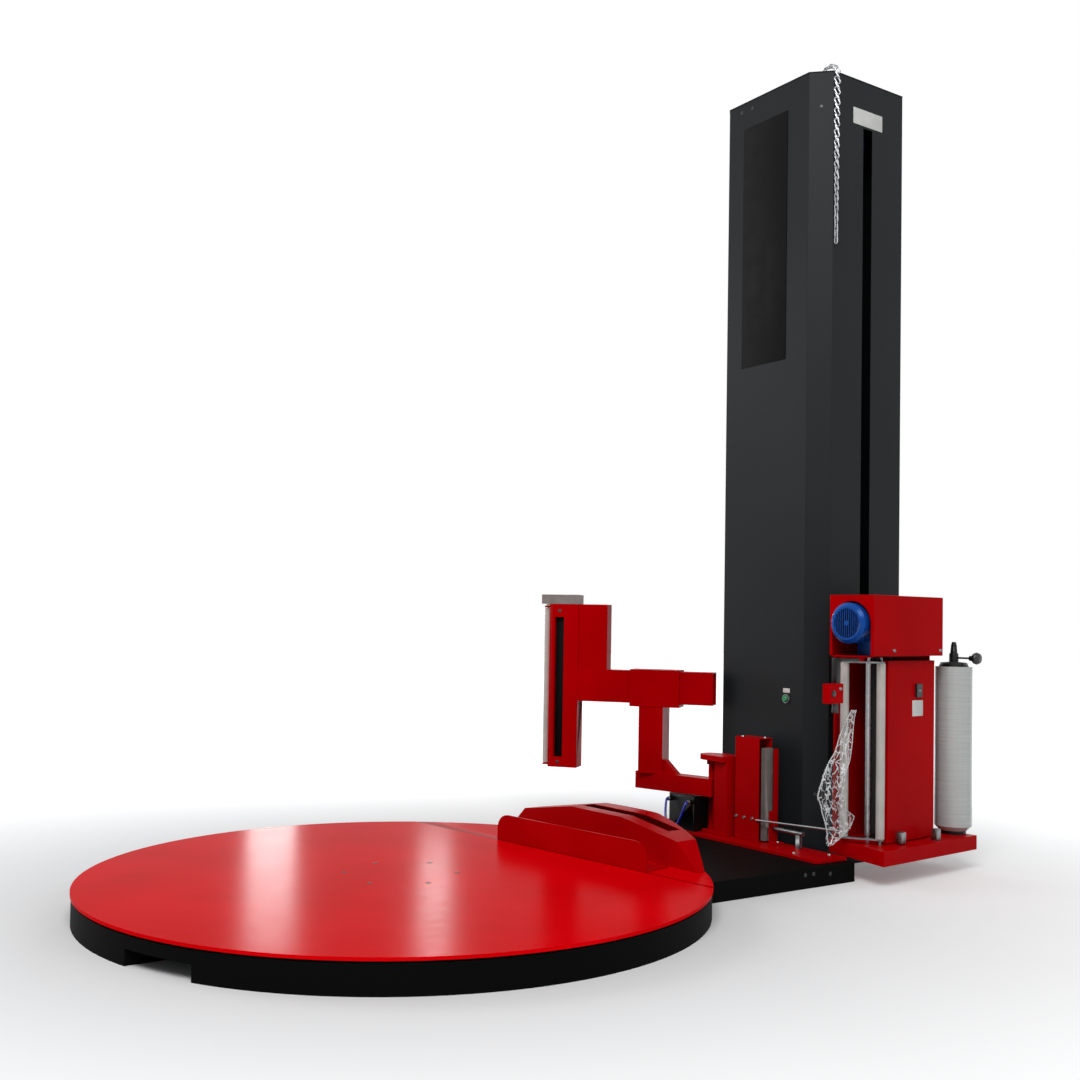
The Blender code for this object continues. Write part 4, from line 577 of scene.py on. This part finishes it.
def points_object(places):
    """A mesh of bare points, each with the direction that its fastener points in."""
    mesh = bpy.data.meshes.new("fastener_points")
    mesh.from_pydata([tuple(place) for place, aim in places], [], [])
    aims = mesh.attributes.new("aim", "FLOAT_VECTOR", "POINT")
    aims.data.foreach_set("vector", [value for place, aim in places for value in aim])
    return link("fastener_points", mesh)


def path_object(points):
    curve = bpy.data.curves.new("path", "CURVE")
    curve.dimensions = "3D"
    spline = curve.splines.new("POLY")
    spline.points.add(len(points) - 1)
    for point, place in zip(spline.points, points):
        point.co = (*place, 1.0)
    return link("path", curve)


def tube(name, points, radius, finish, body):
    """A round rope along points in the frame, with closed ends."""
    path = path_object(points)
    path.data.bevel_depth = radius
    path.data.bevel_resolution = 2
    path.data.use_fill_caps = True
    work = bmesh.new()
    work.from_mesh(evaluated_mesh(path))
    bmesh.ops.remove_doubles(work, verts=work.verts, dist=0.00001)
    bmesh.ops.recalc_face_normals(work, faces=work.faces)
    return settle(shaded(name, work, 70), finish, body)


# ---- Sizes and colours ----
class WrapperColours(bpy.types.PropertyGroup):
    enamel: StringProperty(name="Enamel", description="Red of the sheet metal", default="#B80006")
    disc: StringProperty(name="Disc", description="Red of the turntable", default="#E2000A")
    mast: StringProperty(name="Mast", description="Tone of the mast's powder coat", default="#1D2123")
    motor: StringProperty(name="Motor", description="Blue of the gearmotors", default="#0A4CA4")


class WrapperSizes(bpy.types.PropertyGroup):
    sheet_edge: FloatProperty(
        name="Sheet edge", description="Radius of a folded sheet's edges", default=0.0014, unit="LENGTH"
    )
    tube_edge: FloatProperty(
        name="Tube edge", description="Radius of the square tubes' corners", default=0.0035, unit="LENGTH"
    )
    screw_radius: FloatProperty(
        name="Screw head", description="Radius of a button-head screw", default=0.0055, unit="LENGTH"
    )
    link_length: FloatProperty(
        name="Chain link", description="Outer length of a lifting chain link", default=0.026, unit="LENGTH"
    )
    link_wire: FloatProperty(
        name="Link wire", description="Radius of a link's wire", default=0.0021, unit="LENGTH",
    )
    guard_bars: IntProperty(name="Guard bars", description="Bars of the fan guard", default=11, min=8)
    tail_seed: FloatProperty(
        name="Film tail seed", description="Shifts the creases of the loose film", default=4.2,
    )


class WrapperLight(bpy.types.PropertyGroup):
    lens: FloatProperty(name="Lens", description="Focal length in millimetres", default=40.96)
    rise: FloatProperty(name="Rise", description="Upward shift of the view", default=0.0348)
    key: FloatProperty(
        name="Key light", description="Power of the large softbox", default=205.0, unit="POWER",
    )
    side: FloatProperty(
        name="Side light", description="Power of the side softbox", default=14.0, unit="POWER",
    )
    strip: FloatProperty(
        name="Strip lights", description="Power of each tall narrow lamp", default=17.0, unit="POWER",
    )
    room: FloatProperty(name="Room light", description="Strength of the even light", default=0.30)
    eye: FloatVectorProperty(
        name="Eye", description="The camera's place", default=(-1.5625, -2.928, 0.7568), subtype="TRANSLATION"
    )


class PieceOperator:
    bl_options = {"REGISTER", "UNDO"}

    @property
    def sizes(self):
        return bpy.context.scene.wrapper_sizes


class WRAPPER_OT_finishes(PieceOperator, bpy.types.Operator):
    """Makes every paint, metal, rubber and film finish"""

    bl_idname = "wrapper.finishes"
    bl_label = "Finishes"

    def execute(self, context):
        FINISHES.update(make_finishes(context.scene.wrapper_colours))
        return {"FINISHED"}


class WRAPPER_OT_sheet_metal(PieceOperator, bpy.types.Operator):
    """Gives the painted sheet metal and the square tubes their folded, rounded edges"""

    bl_idname = "wrapper.sheet_metal"
    bl_label = "Sheet metal and tubes"

    def execute(self, context):
        sheet, tube = self.sizes.sheet_edge, self.sizes.tube_edge
        # Each row: finish, then edge radius, segments and the shortest edge that is rounded, then the pieces.
        for finish, rounding, names in (
            (
                "red_enamel", (sheet,),
                (
                    "end_hood", "carriage_plate", "clamp_housing", "carriage_housing", "roller_door",
                    "pivot_post",
                ),
            ),
            (
                "red_enamel", (sheet * 0.7,),
                ("pallet_fence", "clamp_plate", "clamp_anvil", "carriage_frame", "photocell"),
            ),
            ("red_enamel", (tube, 3, 0.02), ("swing_arm", "wiper_head")),
            ("disc_enamel", (), ("turntable_disc",)), ("anthracite", (0.0012, 2, 0.03), ("mast_column",)),
            ("anthracite", (0.0008,), ("mast_cap",)), ("anthracite", (0.0010, 2, 0.02), ("rear_door",)),
            ("black_coat", (), ("base_ring",)), ("black_coat", (0.0010, 2, 0.01), ("deck_frame",)),
            ("black_coat", (), ("fork_channel_left", "fork_channel_right", "hub_frame")),
        ):
            for name in names:
                refine(name, finish, *rounding)
        return {"FINISHED"}


class WRAPPER_OT_machinery(PieceOperator, bpy.types.Operator):
    """Gives the turned parts, motors, rollers and fittings their surfaces"""

    bl_idname = "wrapper.machinery"
    bl_label = "Machinery"

    def execute(self, context):
        for finish, names in {
            "ground_steel": (
                "table_sprocket", "drive_sprocket", "lift_rail", "lift_sprocket_top", "lift_sprocket_bottom",
                "steel_roller", "film_guide_rod", "support_roller_1", "support_roller_2", "support_roller_3",
                "support_roller_4",
            ),
            "zinc": ("clamp_cylinder", "dancer_arm"),
            "blue_enamel": ("lift_gearmotor", "turntable_gearmotor", "stretch_motor"),
            "black_enamel": ("swing_actuator", "roll_spindle", "roll_chuck"),
            "black_plastic": ("motor_fan", "chuck_knob", "main_switch", "door_latch"),
            "black_rubber": ("prestretch_roller_fast", "prestretch_roller_slow"),
            "pale_roller": ("guide_roller", "dancer_roller", "wiper_roller"),
            "grey_plastic": ("clamp_bar", "head_cap"), "button_green": ("start_button",),
            "button_red": ("emergency_stop",), "wound_film": ("film_roll",),
        }.items():
            for name in names:
                refine(name, finish, angle=40)
        return {"FINISHED"}


LINK_OVERLAP = 4.4  # wire radii by which each link reaches into the next


class WRAPPER_OT_chains(PieceOperator, bpy.types.Operator):
    """Hangs the galvanised lifting chain from its links and finishes the two drive chains"""

    bl_idname = "wrapper.chains"
    bl_label = "Chains"

    def execute(self, context):
        low = node_box("hanging_chain")[0]
        top = node_box("mast_cap")[1].z
        corners = frame["nodes"]["hanging_chain"].data.vertices
        foot = [vertex.co for vertex in corners if vertex.co.z < low.z + 0.001]
        x = sum(place.x for place in foot) / len(foot)
        y = sum(place.y for place in foot) / len(foot)
        path = [
            (x, y, low.z), (x, y, top + 0.004), (x - 0.012, y + 0.0125, top + 0.014),
            (x - 0.020, y + 0.0325, top + 0.009), (x - 0.008, y + 0.0535, top + 0.0055),
        ]
        grown(
            "hanging_chain_links", path_object(path), link_tree(),
            {
                "Link Length": self.sizes.link_length, "Link Width": 0.011,
                "Wire Radius": self.sizes.link_wire,
                "Pitch": self.sizes.link_length - LINK_OVERLAP * self.sizes.link_wire,
            },
            "galvanised", "base", stands_for=("hanging_chain",),
        )
        for name in ("lift_chain", "drive_chain"):
            refine(name, "ground_steel", angle=50)
        return {"FINISHED"}


class WRAPPER_OT_screws(PieceOperator, bpy.types.Operator):
    """Sets the button-head screws, a black plug in each unused hole and a flat black disc of painted shade in each
    of the disc's open bolt holes
    """

    bl_idname = "wrapper.screws"
    bl_label = "Screws"

    def execute(self, context):
        tree = screw_tree()
        for body, places in fastener_places().items():
            grown(
                f"{body}_screws", points_object(places), tree, {"Head Radius": self.sizes.screw_radius},
                "zinc", body,
            )
        flat = {"Head Radius": 0.0062, "Head Height": 0.0007, "Socket Scale": 0.86, "Socket Depth": 0.0005}
        # On the turntable these are flat black discs of painted shade in its open bolt holes.
        for body, places in plug_and_hole_shade_places().items():
            grown(
                f"{body}_plugs_and_hole_shade", points_object(places), tree, flat, "black_plastic", body
            )
        return {"FINISHED"}


def fastener_places():
    """Where the screws sit, by body: (place, direction) pairs."""
    forward = -(CARRIAGE.to_3x3() @ Vector((0, 1, 0)))
    low, high = local_box(CARRIAGE, "carriage_housing")
    cell = local_box(CARRIAGE, "photocell")[0]
    ends = (low.x + 0.105, high.x - 0.014)
    carriage = [(CARRIAGE @ Vector((u, low.y, low.z + 0.016)), forward) for u in ends]
    carriage.append((CARRIAGE @ Vector((cell.x + 0.052, cell.y, cell.z + 0.068)), forward))
    plate_low, plate_high = node_box("clamp_plate")
    clamp_low, clamp_high = node_box("clamp_housing")
    anvil_low, anvil_high = node_box("clamp_anvil")
    front = [(clamp_low.x, clamp_low.y + step, clamp_low.z + 0.071) for step in (0.027, 0.064, 0.100)]
    tops = [
        (plate_low.x + 0.100, plate_low.y + 0.045, plate_high.z),
        (plate_low.x + 0.100, plate_high.y - 0.045, plate_high.z),
        (plate_low.x + 0.028, plate_low.y + 0.120, plate_high.z),
        (clamp_low.x + 0.010, clamp_low.y + 0.083, clamp_high.z),
        (clamp_low.x + 0.040, clamp_low.y + 0.014, clamp_high.z),
        ((anvil_low.x + anvil_high.x) / 2, anvil_low.y + 0.010, anvil_low.z + 0.006),
    ]
    base = [(place, (-1, 0, 0)) for place in front] + [(place, (0, 0, 1)) for place in tops]
    return {"carriage": carriage, "base": base}


MAST_FOLD = 0.0278  # from the mast's corner to the middle of its sloping fold
DISC_HOLE_CIRCLE = 0.150  # radius of the circle of bolt holes in the disc
DISC_HOLES = [radians(30 + 60 * number) for number in range(6)]


def plug_and_hole_shade_places():
    """Where a black plug closes each unused hole, and where a flat black disc paints the shade in each of the
    disc's open bolt holes, by body: (place, direction) pairs.
    """
    deck_low = node_box("deck_frame")[0]
    side = MAST_LOW.y
    bend = MAST_LOW.x + MAST_FOLD
    slope = Vector((-1, -1, 0)).normalized()
    base = [
        ((MAST_LOW.x, 0.125, MAST_HIGH.z - 0.026), (-1, 0, 0)),
        ((MAST_LOW.x, 0.074, MAST_HIGH.z - 0.026), (-1, 0, 0)),
        ((bend, side + MAST_FOLD, MAST_HIGH.z - 0.110), slope), ((bend, side + MAST_FOLD, 0.225), slope),
    ]
    for x, z in ((1.078, 0.040), (1.112, 0.040), (1.181, 0.034)):
        base.append(((x, deck_low.y, z), (0, -1, 0)))
    disc_top = node_box("turntable_disc")[1].z
    # Painted shade: a flat black disc in each of the disc's open bolt holes, so that they look dark.
    holes = [
        ((DISC_HOLE_CIRCLE * cos(turn), DISC_HOLE_CIRCLE * sin(turn), disc_top), (0, 0, 1))
        for turn in DISC_HOLES
    ]
    outward = HEAD.to_3x3() @ Vector((0, 1, 0))
    low, high = local_box(HEAD, "wiper_head")
    head = [
        (HEAD @ Vector((-0.052, 0.035, low.z + 0.018)), outward),
        (HEAD @ Vector((-0.052, 0.035, high.z - 0.024)), outward),
    ]
    return {"base": base, "wiper_head": head, "turntable": holes}


class WRAPPER_OT_mast_trim(PieceOperator, bpy.types.Operator):
    """Adds the bare front panel, the push button's bezel and the blank plates"""

    bl_idname = "wrapper.mast_trim"
    bl_label = "Mast trim"

    def execute(self, context):
        front = MAST_LOW.x
        block(
            "front_panel", (0.0016, 0.204, 0.82), (front - 0.0011, 0.010, 2.03), "panel_black", "base", 0.0007
        )
        button = node_middle("start_button")
        bezel = [
            (0.0106, 0.0), (0.0150, 0.0), (0.0150, 0.0040), (0.0142, 0.0052), (0.0118, 0.0052),
            (0.0106, 0.0040), (0.0106, 0.0),
        ]
        lathe(
            "button_bezel", bezel, aimed((front - 0.0003, button.y, button.z), (-1, 0, 0)), "zinc", "base", 32
        )
        slot_top = MAST_HIGH.z - 0.118
        block(
            "side_plate", (0.139, 0.0009, 0.053), (MAST_LOW.x + 0.215, MAST_LOW.y - 0.0008, slot_top),
            "pale_plate", "base", 0.0003,
        )
        block(
            "button_plate", (0.0010, 0.030, 0.014), (front - 0.0008, button.y, button.z + 0.026),
            "pale_plate", "base", 0.0004,
        )
        return {"FINISHED"}


class WRAPPER_OT_fittings(PieceOperator, bpy.types.Operator):
    """Adds the fan guard, the load sensor's parts, a black sheet of painted shade inside the wiper head's slot
    with the head's seam and washer, and the door's small parts
    """

    bl_idname = "wrapper.fittings"
    bl_label = "Small fittings"

    def execute(self, context):
        low, high = node_box("stretch_motor")
        fan = joint_point("motor_fan_spin")
        outward = joint_axis("motor_fan_spin")
        if outward.dot(fan - (low + high) / 2) < 0:
            outward = -outward
        guard = aimed(fan + outward * 0.0142, outward)
        grown(
            "fan_guard", new_points_seat(), bars_tree(), {"Count": self.sizes.guard_bars}, "blue_enamel",
            "carriage", into=guard,
        )
        lathe(
            "guard_shadow", [(0.0, -0.0034), (0.0440, -0.0034), (0.0440, -0.0026), (0.0, -0.0026)], guard,
            "panel_black", "carriage",
        )
        for name, inner, outer in (("guard_hub", 0.0, 0.0080), ("guard_ring", 0.0435, 0.0455)):
            rim = [(inner, -0.0012), (outer, -0.0012), (outer, 0.0012), (inner, 0.0012), (inner, -0.0012)]
            lathe(name, rim if inner else rim[:4], guard, "blue_enamel", "carriage")
        self.add_sensor()
        self.add_head_slot_shade_and_trim()
        low, high = local_box(CARRIAGE, "door_latch")
        face = local_box(CARRIAGE, "roller_door")[0].y
        middle = (low.x + high.x) / 2
        block(
            "door_plate", (0.056, 0.0008, 0.048), (middle, face - 0.0006, low.z - 0.034), "pale_plate",
            "roller_door", 0.0003, into=CARRIAGE,
        )
        block(
            "latch_slot", (0.014, 0.0012, 0.006), (middle, low.y - 0.0002, (low.z + high.z) / 2), "zinc",
            "roller_door", 0.0003, into=CARRIAGE,
        )
        for name, place, body in (
            ("door_foot", (-0.320, -0.026, 0.1295), "roller_door"),
            ("plate_block", (-0.164, -0.044, 0.1270), "carriage"),
        ):
            block(name, (0.022, 0.020, 0.034), place, "zinc", body, 0.0016, into=CARRIAGE)
        return {"FINISHED"}

    def add_sensor(self):
        low, high = local_box(CARRIAGE, "photocell")
        middle = low.y + 0.012
        top = high.z
        hanger = (low.x + 0.046, middle, (low.z + 0.084 + top) / 2)
        block(
            "sensor_hanger", (0.0190, 0.0170, top - low.z - 0.084), hanger, "black_enamel", "carriage",
            into=CARRIAGE,
        )
        arm = (low.x + 0.092, middle, top - 0.0055)
        block("sensor_arm", (0.109, 0.0170, 0.0108), arm, "black_enamel", "carriage", into=CARRIAGE)
        lens_place = CARRIAGE @ Vector((low.x + 0.020, low.y, low.z + 0.055))
        forward = -(CARRIAGE.to_3x3() @ Vector((0, 1, 0)))
        lens = [
            (0.0, -0.001), (0.0095, -0.001), (0.0095, 0.0016), (0.0075, 0.0026), (0.004, 0.0032),
            (0.0, 0.0034),
        ]
        lathe("sensor_lens", lens, aimed(lens_place, forward), "sensor_glass", "carriage")
        socket = [
            (0.0, -0.002), (0.0088, -0.002), (0.0098, 0.002), (0.0098, 0.012), (0.0088, 0.014),
            (0.0088, 0.027), (0.0, 0.027),
        ]
        foot = CARRIAGE @ Vector((low.x + 0.043, middle, low.z))
        lathe("sensor_connector", socket, Matrix.Translation(foot), "black_plastic", "carriage", 20)

    def add_head_slot_shade_and_trim(self):
        low, high = local_box(HEAD, "wiper_head")
        # Painted shade: a black sheet inside the head's channel, so that the slot looks dark.
        block(
            "slot_shade_sheet", (0.0400, 0.0016, 0.500), (-0.0515, 0.0130, 0.5255), "panel_black", "wiper_head",
            0.0004, into=HEAD,
        )
        block(
            "flange_seam", (0.0011, 0.0007, 0.560), (-0.0235, 0.0351, (low.z + high.z) / 2), "black_rubber",
            "wiper_head", 0.0002, into=HEAD,
        )
        washer = [(0.0045, 0.0), (0.0085, 0.0), (0.0085, 0.0045), (0.0045, 0.0045), (0.0045, 0.0)]
        roller = joint_point("wiper_roller_spin")
        seat = Matrix.Translation((roller.x, roller.y, high.z - 0.0053))
        lathe("roller_washer", washer, seat, "yellow_plastic", "wiper_head", 20)


def new_points_seat():
    """A bare mesh for a tree that grows its own shape."""
    return points_object([((0, 0, 0), (0, 0, 1))])


class WRAPPER_OT_air_hose(PieceOperator, bpy.types.Operator):
    """Finishes the blue air hose between the actuator's two ports, with a push fitting at each end"""

    bl_idname = "wrapper.air_hose"
    bl_label = "Air hose"

    def execute(self, context):
        refine("air_hose", "hose_blue", angle=60)
        low, high = node_box("air_hose")
        face = node_box("swing_actuator")[0].x
        height = high.z - 0.004
        fitting = [
            (0.0045, 0.0), (0.0072, 0.0), (0.0072, 0.003), (0.0062, 0.0045), (0.0062, 0.007), (0.0045, 0.007),
            (0.0045, 0.0),
        ]
        for name, y in (("near_fitting", low.y + 0.004), ("far_fitting", high.y - 0.004)):
            lathe(name, fitting, aimed((face, y, height), (-1, 0, 0)), "zinc", "base", 20)
        return {"FINISHED"}


class WRAPPER_OT_film_tail(PieceOperator, bpy.types.Operator):
    """Crumples the loose end of the film beside the dancer roller"""

    bl_idname = "wrapper.film_tail"
    bl_label = "Film tail"

    def execute(self, context):
        low, high = local_box(CARRIAGE, "film_tail")
        across, down = 48, 96
        work = bmesh.new()
        rows = []
        for j in range(down + 1):
            t = j / down
            z = high.z - (high.z - low.z) * t
            left = low.x + (high.x - low.x) * edge_share(TAIL_LEFT, t)
            right = low.x + (high.x - low.x) * edge_share(TAIL_RIGHT, t)
            row = []
            for i in range(across + 1):
                s = i / across
                x = left + (right - left) * s
                fold = 0.42 * sin(2 * pi * (2.6 * s + 0.9 * t)) + 0.22 * sin(
                    2 * pi * (6.1 * s - 1.7 * t + 0.3),
                )
                crease = noise.fractal(Vector((x * 28, z * 20, self.sizes.tail_seed)), 1.0, 2.2, 4)
                y = (low.y + high.y) / 2 + (high.y - low.y) * 0.5 * max(-1, min(1, fold + 0.5 * crease))
                row.append(work.verts.new((x, y, z)))
            rows.append(row)
        for upper, lower in zip(rows, rows[1:]):
            for i in range(across):
                work.faces.new((upper[i], upper[i + 1], lower[i + 1], lower[i]))
        bmesh.ops.transform(work, matrix=CARRIAGE, verts=work.verts)
        area = sum(face.calc_area() for face in work.faces)
        hems = [
            tube(name, [row[end].co.copy() for row in rows[::6]], radius, "gathered_film", "dancer")
            for name, end, radius in (("film_hem_left", 1, 0.0018), ("film_hem_right", -2, 0.0014))
        ]
        obj = shaded("loose_film", work, 80)
        settle(obj, "loose_film", "dancer", ("film_tail",))
        return {"FINISHED"}


# The tail's two edges, from its top down: (share of its height, share of its width).
TAIL_LEFT = (
    (0.0, 0.903), (0.115, 0.735), (0.32, 0.43), (0.42, 0.22), (0.61, 0.0), (0.74, 0.12), (0.88, 0.19),
    (1.0, 0.265),
)
TAIL_RIGHT = (
    (0.0, 0.984), (0.13, 0.92), (0.27, 0.85), (0.45, 0.76), (0.60, 0.72), (0.75, 0.80), (0.81, 1.0),
    (0.90, 0.90), (1.0, 0.40),
)


def edge_share(edge, t):
    """The place of one of the tail's edges at a share of its height."""
    for (t0, s0), (t1, s1) in zip(edge, edge[1:]):
        if t <= t1:
            return s0 + (s1 - s0) * (t - t0) / (t1 - t0)
    return edge[-1][1]


def seen_share(tree):
    """1 on the rays that show the backdrop: straight to the view, mirrored, or through something clear."""
    rays = node(tree, "ShaderNodeLightPath").outputs
    seen = node(tree, "ShaderNodeMath", inputs={0: rays["Is Camera Ray"], 1: rays["Is Glossy Ray"]})
    return node(tree, "ShaderNodeMath", {"use_clamp": True}, {0: seen, 1: rays["Is Transmission Ray"]})


class WRAPPER_OT_stage(PieceOperator, bpy.types.Operator):
    """Sets the floor, the soft lights and the camera"""

    bl_idname = "wrapper.stage"
    bl_label = "Stage"

    def execute(self, context):
        light = context.scene.wrapper_light
        camera = bpy.data.cameras.new("camera")
        camera.lens = light.lens
        camera.sensor_width = 36.0
        camera.shift_y = light.rise
        camera.clip_end = 60.0
        obj = link("camera", camera)
        heading, pitch, roll = 0.598, 0.0349, 0.0172
        ahead = Vector((sin(heading) * cos(pitch), cos(heading) * cos(pitch), sin(pitch)))
        right = Vector((cos(heading), -sin(heading), 0))
        up = right.cross(ahead)
        level = cos(roll) * right + sin(roll) * up
        upright = cos(roll) * up - sin(roll) * right
        turn = Matrix((level, upright, -ahead)).transposed().to_4x4()
        obj.matrix_world = Matrix.Translation(light.eye) @ turn
        context.scene.camera = obj
        self.add_floor(context)
        self.add_world(context, light.room)
        self.add_softbox("key_softbox", (-2.2, -3.4, 4.6), (0.5, 0.0, 0.5), 3.2, light.key)
        self.add_softbox("side_softbox", (1.9, -5.2, 3.4), (1.2, -0.2, 0.7), 2.2, light.side)
        self.add_softbox("far_softbox", (-2.6, 3.6, 2.8), (0.2, 0.0, 0.4), 2.4, light.side * 3.0)
        for name, place, target, width, share in (
            ("left_strip", (0.94, 3.2, 0.80), (-0.17, 0.48, 0.08), 0.24, 0.55),
            ("right_strip", (1.80, 2.98, 1.15), (-0.08, -0.36, 0.08), 0.16, 0.45),
        ):
            self.add_softbox(name, place, target, width, light.strip * share, 0.9)
        context.scene.view_settings.view_transform = "Standard"
        return {"FINISHED"}

    def add_floor(self, context):
        work = bmesh.new()
        bmesh.ops.create_grid(work, x_segments=1, y_segments=1, size=20.0)
        mesh = bpy.data.meshes.new("floor")
        work.to_mesh(mesh)
        work.free()
        floor = link("floor", mesh)
        made, tree, place = blank_material("pale_floor")
        # The floor glows white away from the machine and stays matt under it, so that it keeps the shadow.
        reach = node(tree, "ShaderNodeVectorMath", {"operation": "LENGTH"}, {0: place}).outputs["Value"]
        rise = node(tree, "ShaderNodeMapRange", inputs={
            "Value": reach, "From Min": 0.9, "From Max": 4.2, "To Min": 0.0, "To Max": 1.0,
        })
        matt = node(tree, "ShaderNodeBsdfDiffuse", inputs={"Color": linear("#F1F1F1")})
        bright = node(tree, "ShaderNodeEmission", inputs={"Color": linear("#FFFFFF"), "Strength": rise})
        both = node(tree, "ShaderNodeAddShader", inputs={0: matt, 1: bright})
        covered(made, node(tree, "ShaderNodeMixShader", inputs={"Fac": seen_share(tree), 1: matt, 2: both}))
        mesh.materials.append(made)

    def add_world(self, context, strength):
        world = bpy.data.worlds.new("studio")
        world.use_nodes = True
        context.scene.world = world
        tree = world.node_tree
        tree.nodes.clear()
        even = node(tree, "ShaderNodeBackground", inputs={"Color": linear("#EEF1F5"), "Strength": strength})
        white = node(tree, "ShaderNodeBackground", inputs={"Color": linear("#FFFFFF"), "Strength": 1.0})
        mixed = node(tree, "ShaderNodeMixShader", inputs={"Fac": seen_share(tree), 1: even, 2: white})
        node(tree, "ShaderNodeOutputWorld", inputs={"Surface": mixed})

    def add_softbox(self, name, place, target, size, power, height=None):
        lamp = bpy.data.lights.new(name, "AREA")
        lamp.shape = "RECTANGLE"
        lamp.size = size
        lamp.size_y = height or size * 0.7
        lamp.energy = power
        obj = link(name, lamp)
        away = Vector(place) - Vector(target)
        obj.matrix_world = Matrix.Translation(place) @ away.to_track_quat("Z", "Y").to_matrix().to_4x4()
        obj.visible_camera = False


class WRAPPER_PT_panel(bpy.types.Panel):
    """Lists the wrapper's steps"""

    bl_label = "Pallet wrapper"
    bl_idname = "WRAPPER_PT_panel"
    bl_space_type = "VIEW_3D"
    bl_region_type = "UI"
    bl_category = "Wrapper"

    def draw(self, context):
        for group in (getattr(context.scene, name) for name in GROUPS):
            for name in group.bl_rna.properties.keys():
                if name not in ("rna_type", "name"):
                    self.layout.prop(group, name)
        for step in STEPS:
            self.layout.operator(step.bl_idname)


STEPS = (
    WRAPPER_OT_finishes, WRAPPER_OT_sheet_metal, WRAPPER_OT_machinery, WRAPPER_OT_chains, WRAPPER_OT_screws,
    WRAPPER_OT_mast_trim, WRAPPER_OT_fittings, WRAPPER_OT_air_hose, WRAPPER_OT_film_tail, WRAPPER_OT_stage,
)
GROUPS = {"wrapper_colours": WrapperColours, "wrapper_sizes": WrapperSizes, "wrapper_light": WrapperLight}


def register():
    for made in (*GROUPS.values(), *STEPS, WRAPPER_PT_panel):
        bpy.utils.register_class(made)
    for name, group in GROUPS.items():
        setattr(bpy.types.Scene, name, PointerProperty(type=group))


def unregister():
    for name in GROUPS:
        delattr(bpy.types.Scene, name)
    for made in (WRAPPER_PT_panel, *reversed(STEPS), *reversed(GROUPS.values())):
        bpy.utils.unregister_class(made)


def main():
    register()
    for step in STEPS:
        group, name = step.bl_idname.split(".")
        getattr(getattr(bpy.ops, group), name)()


if __name__ == "__main__":
    main()
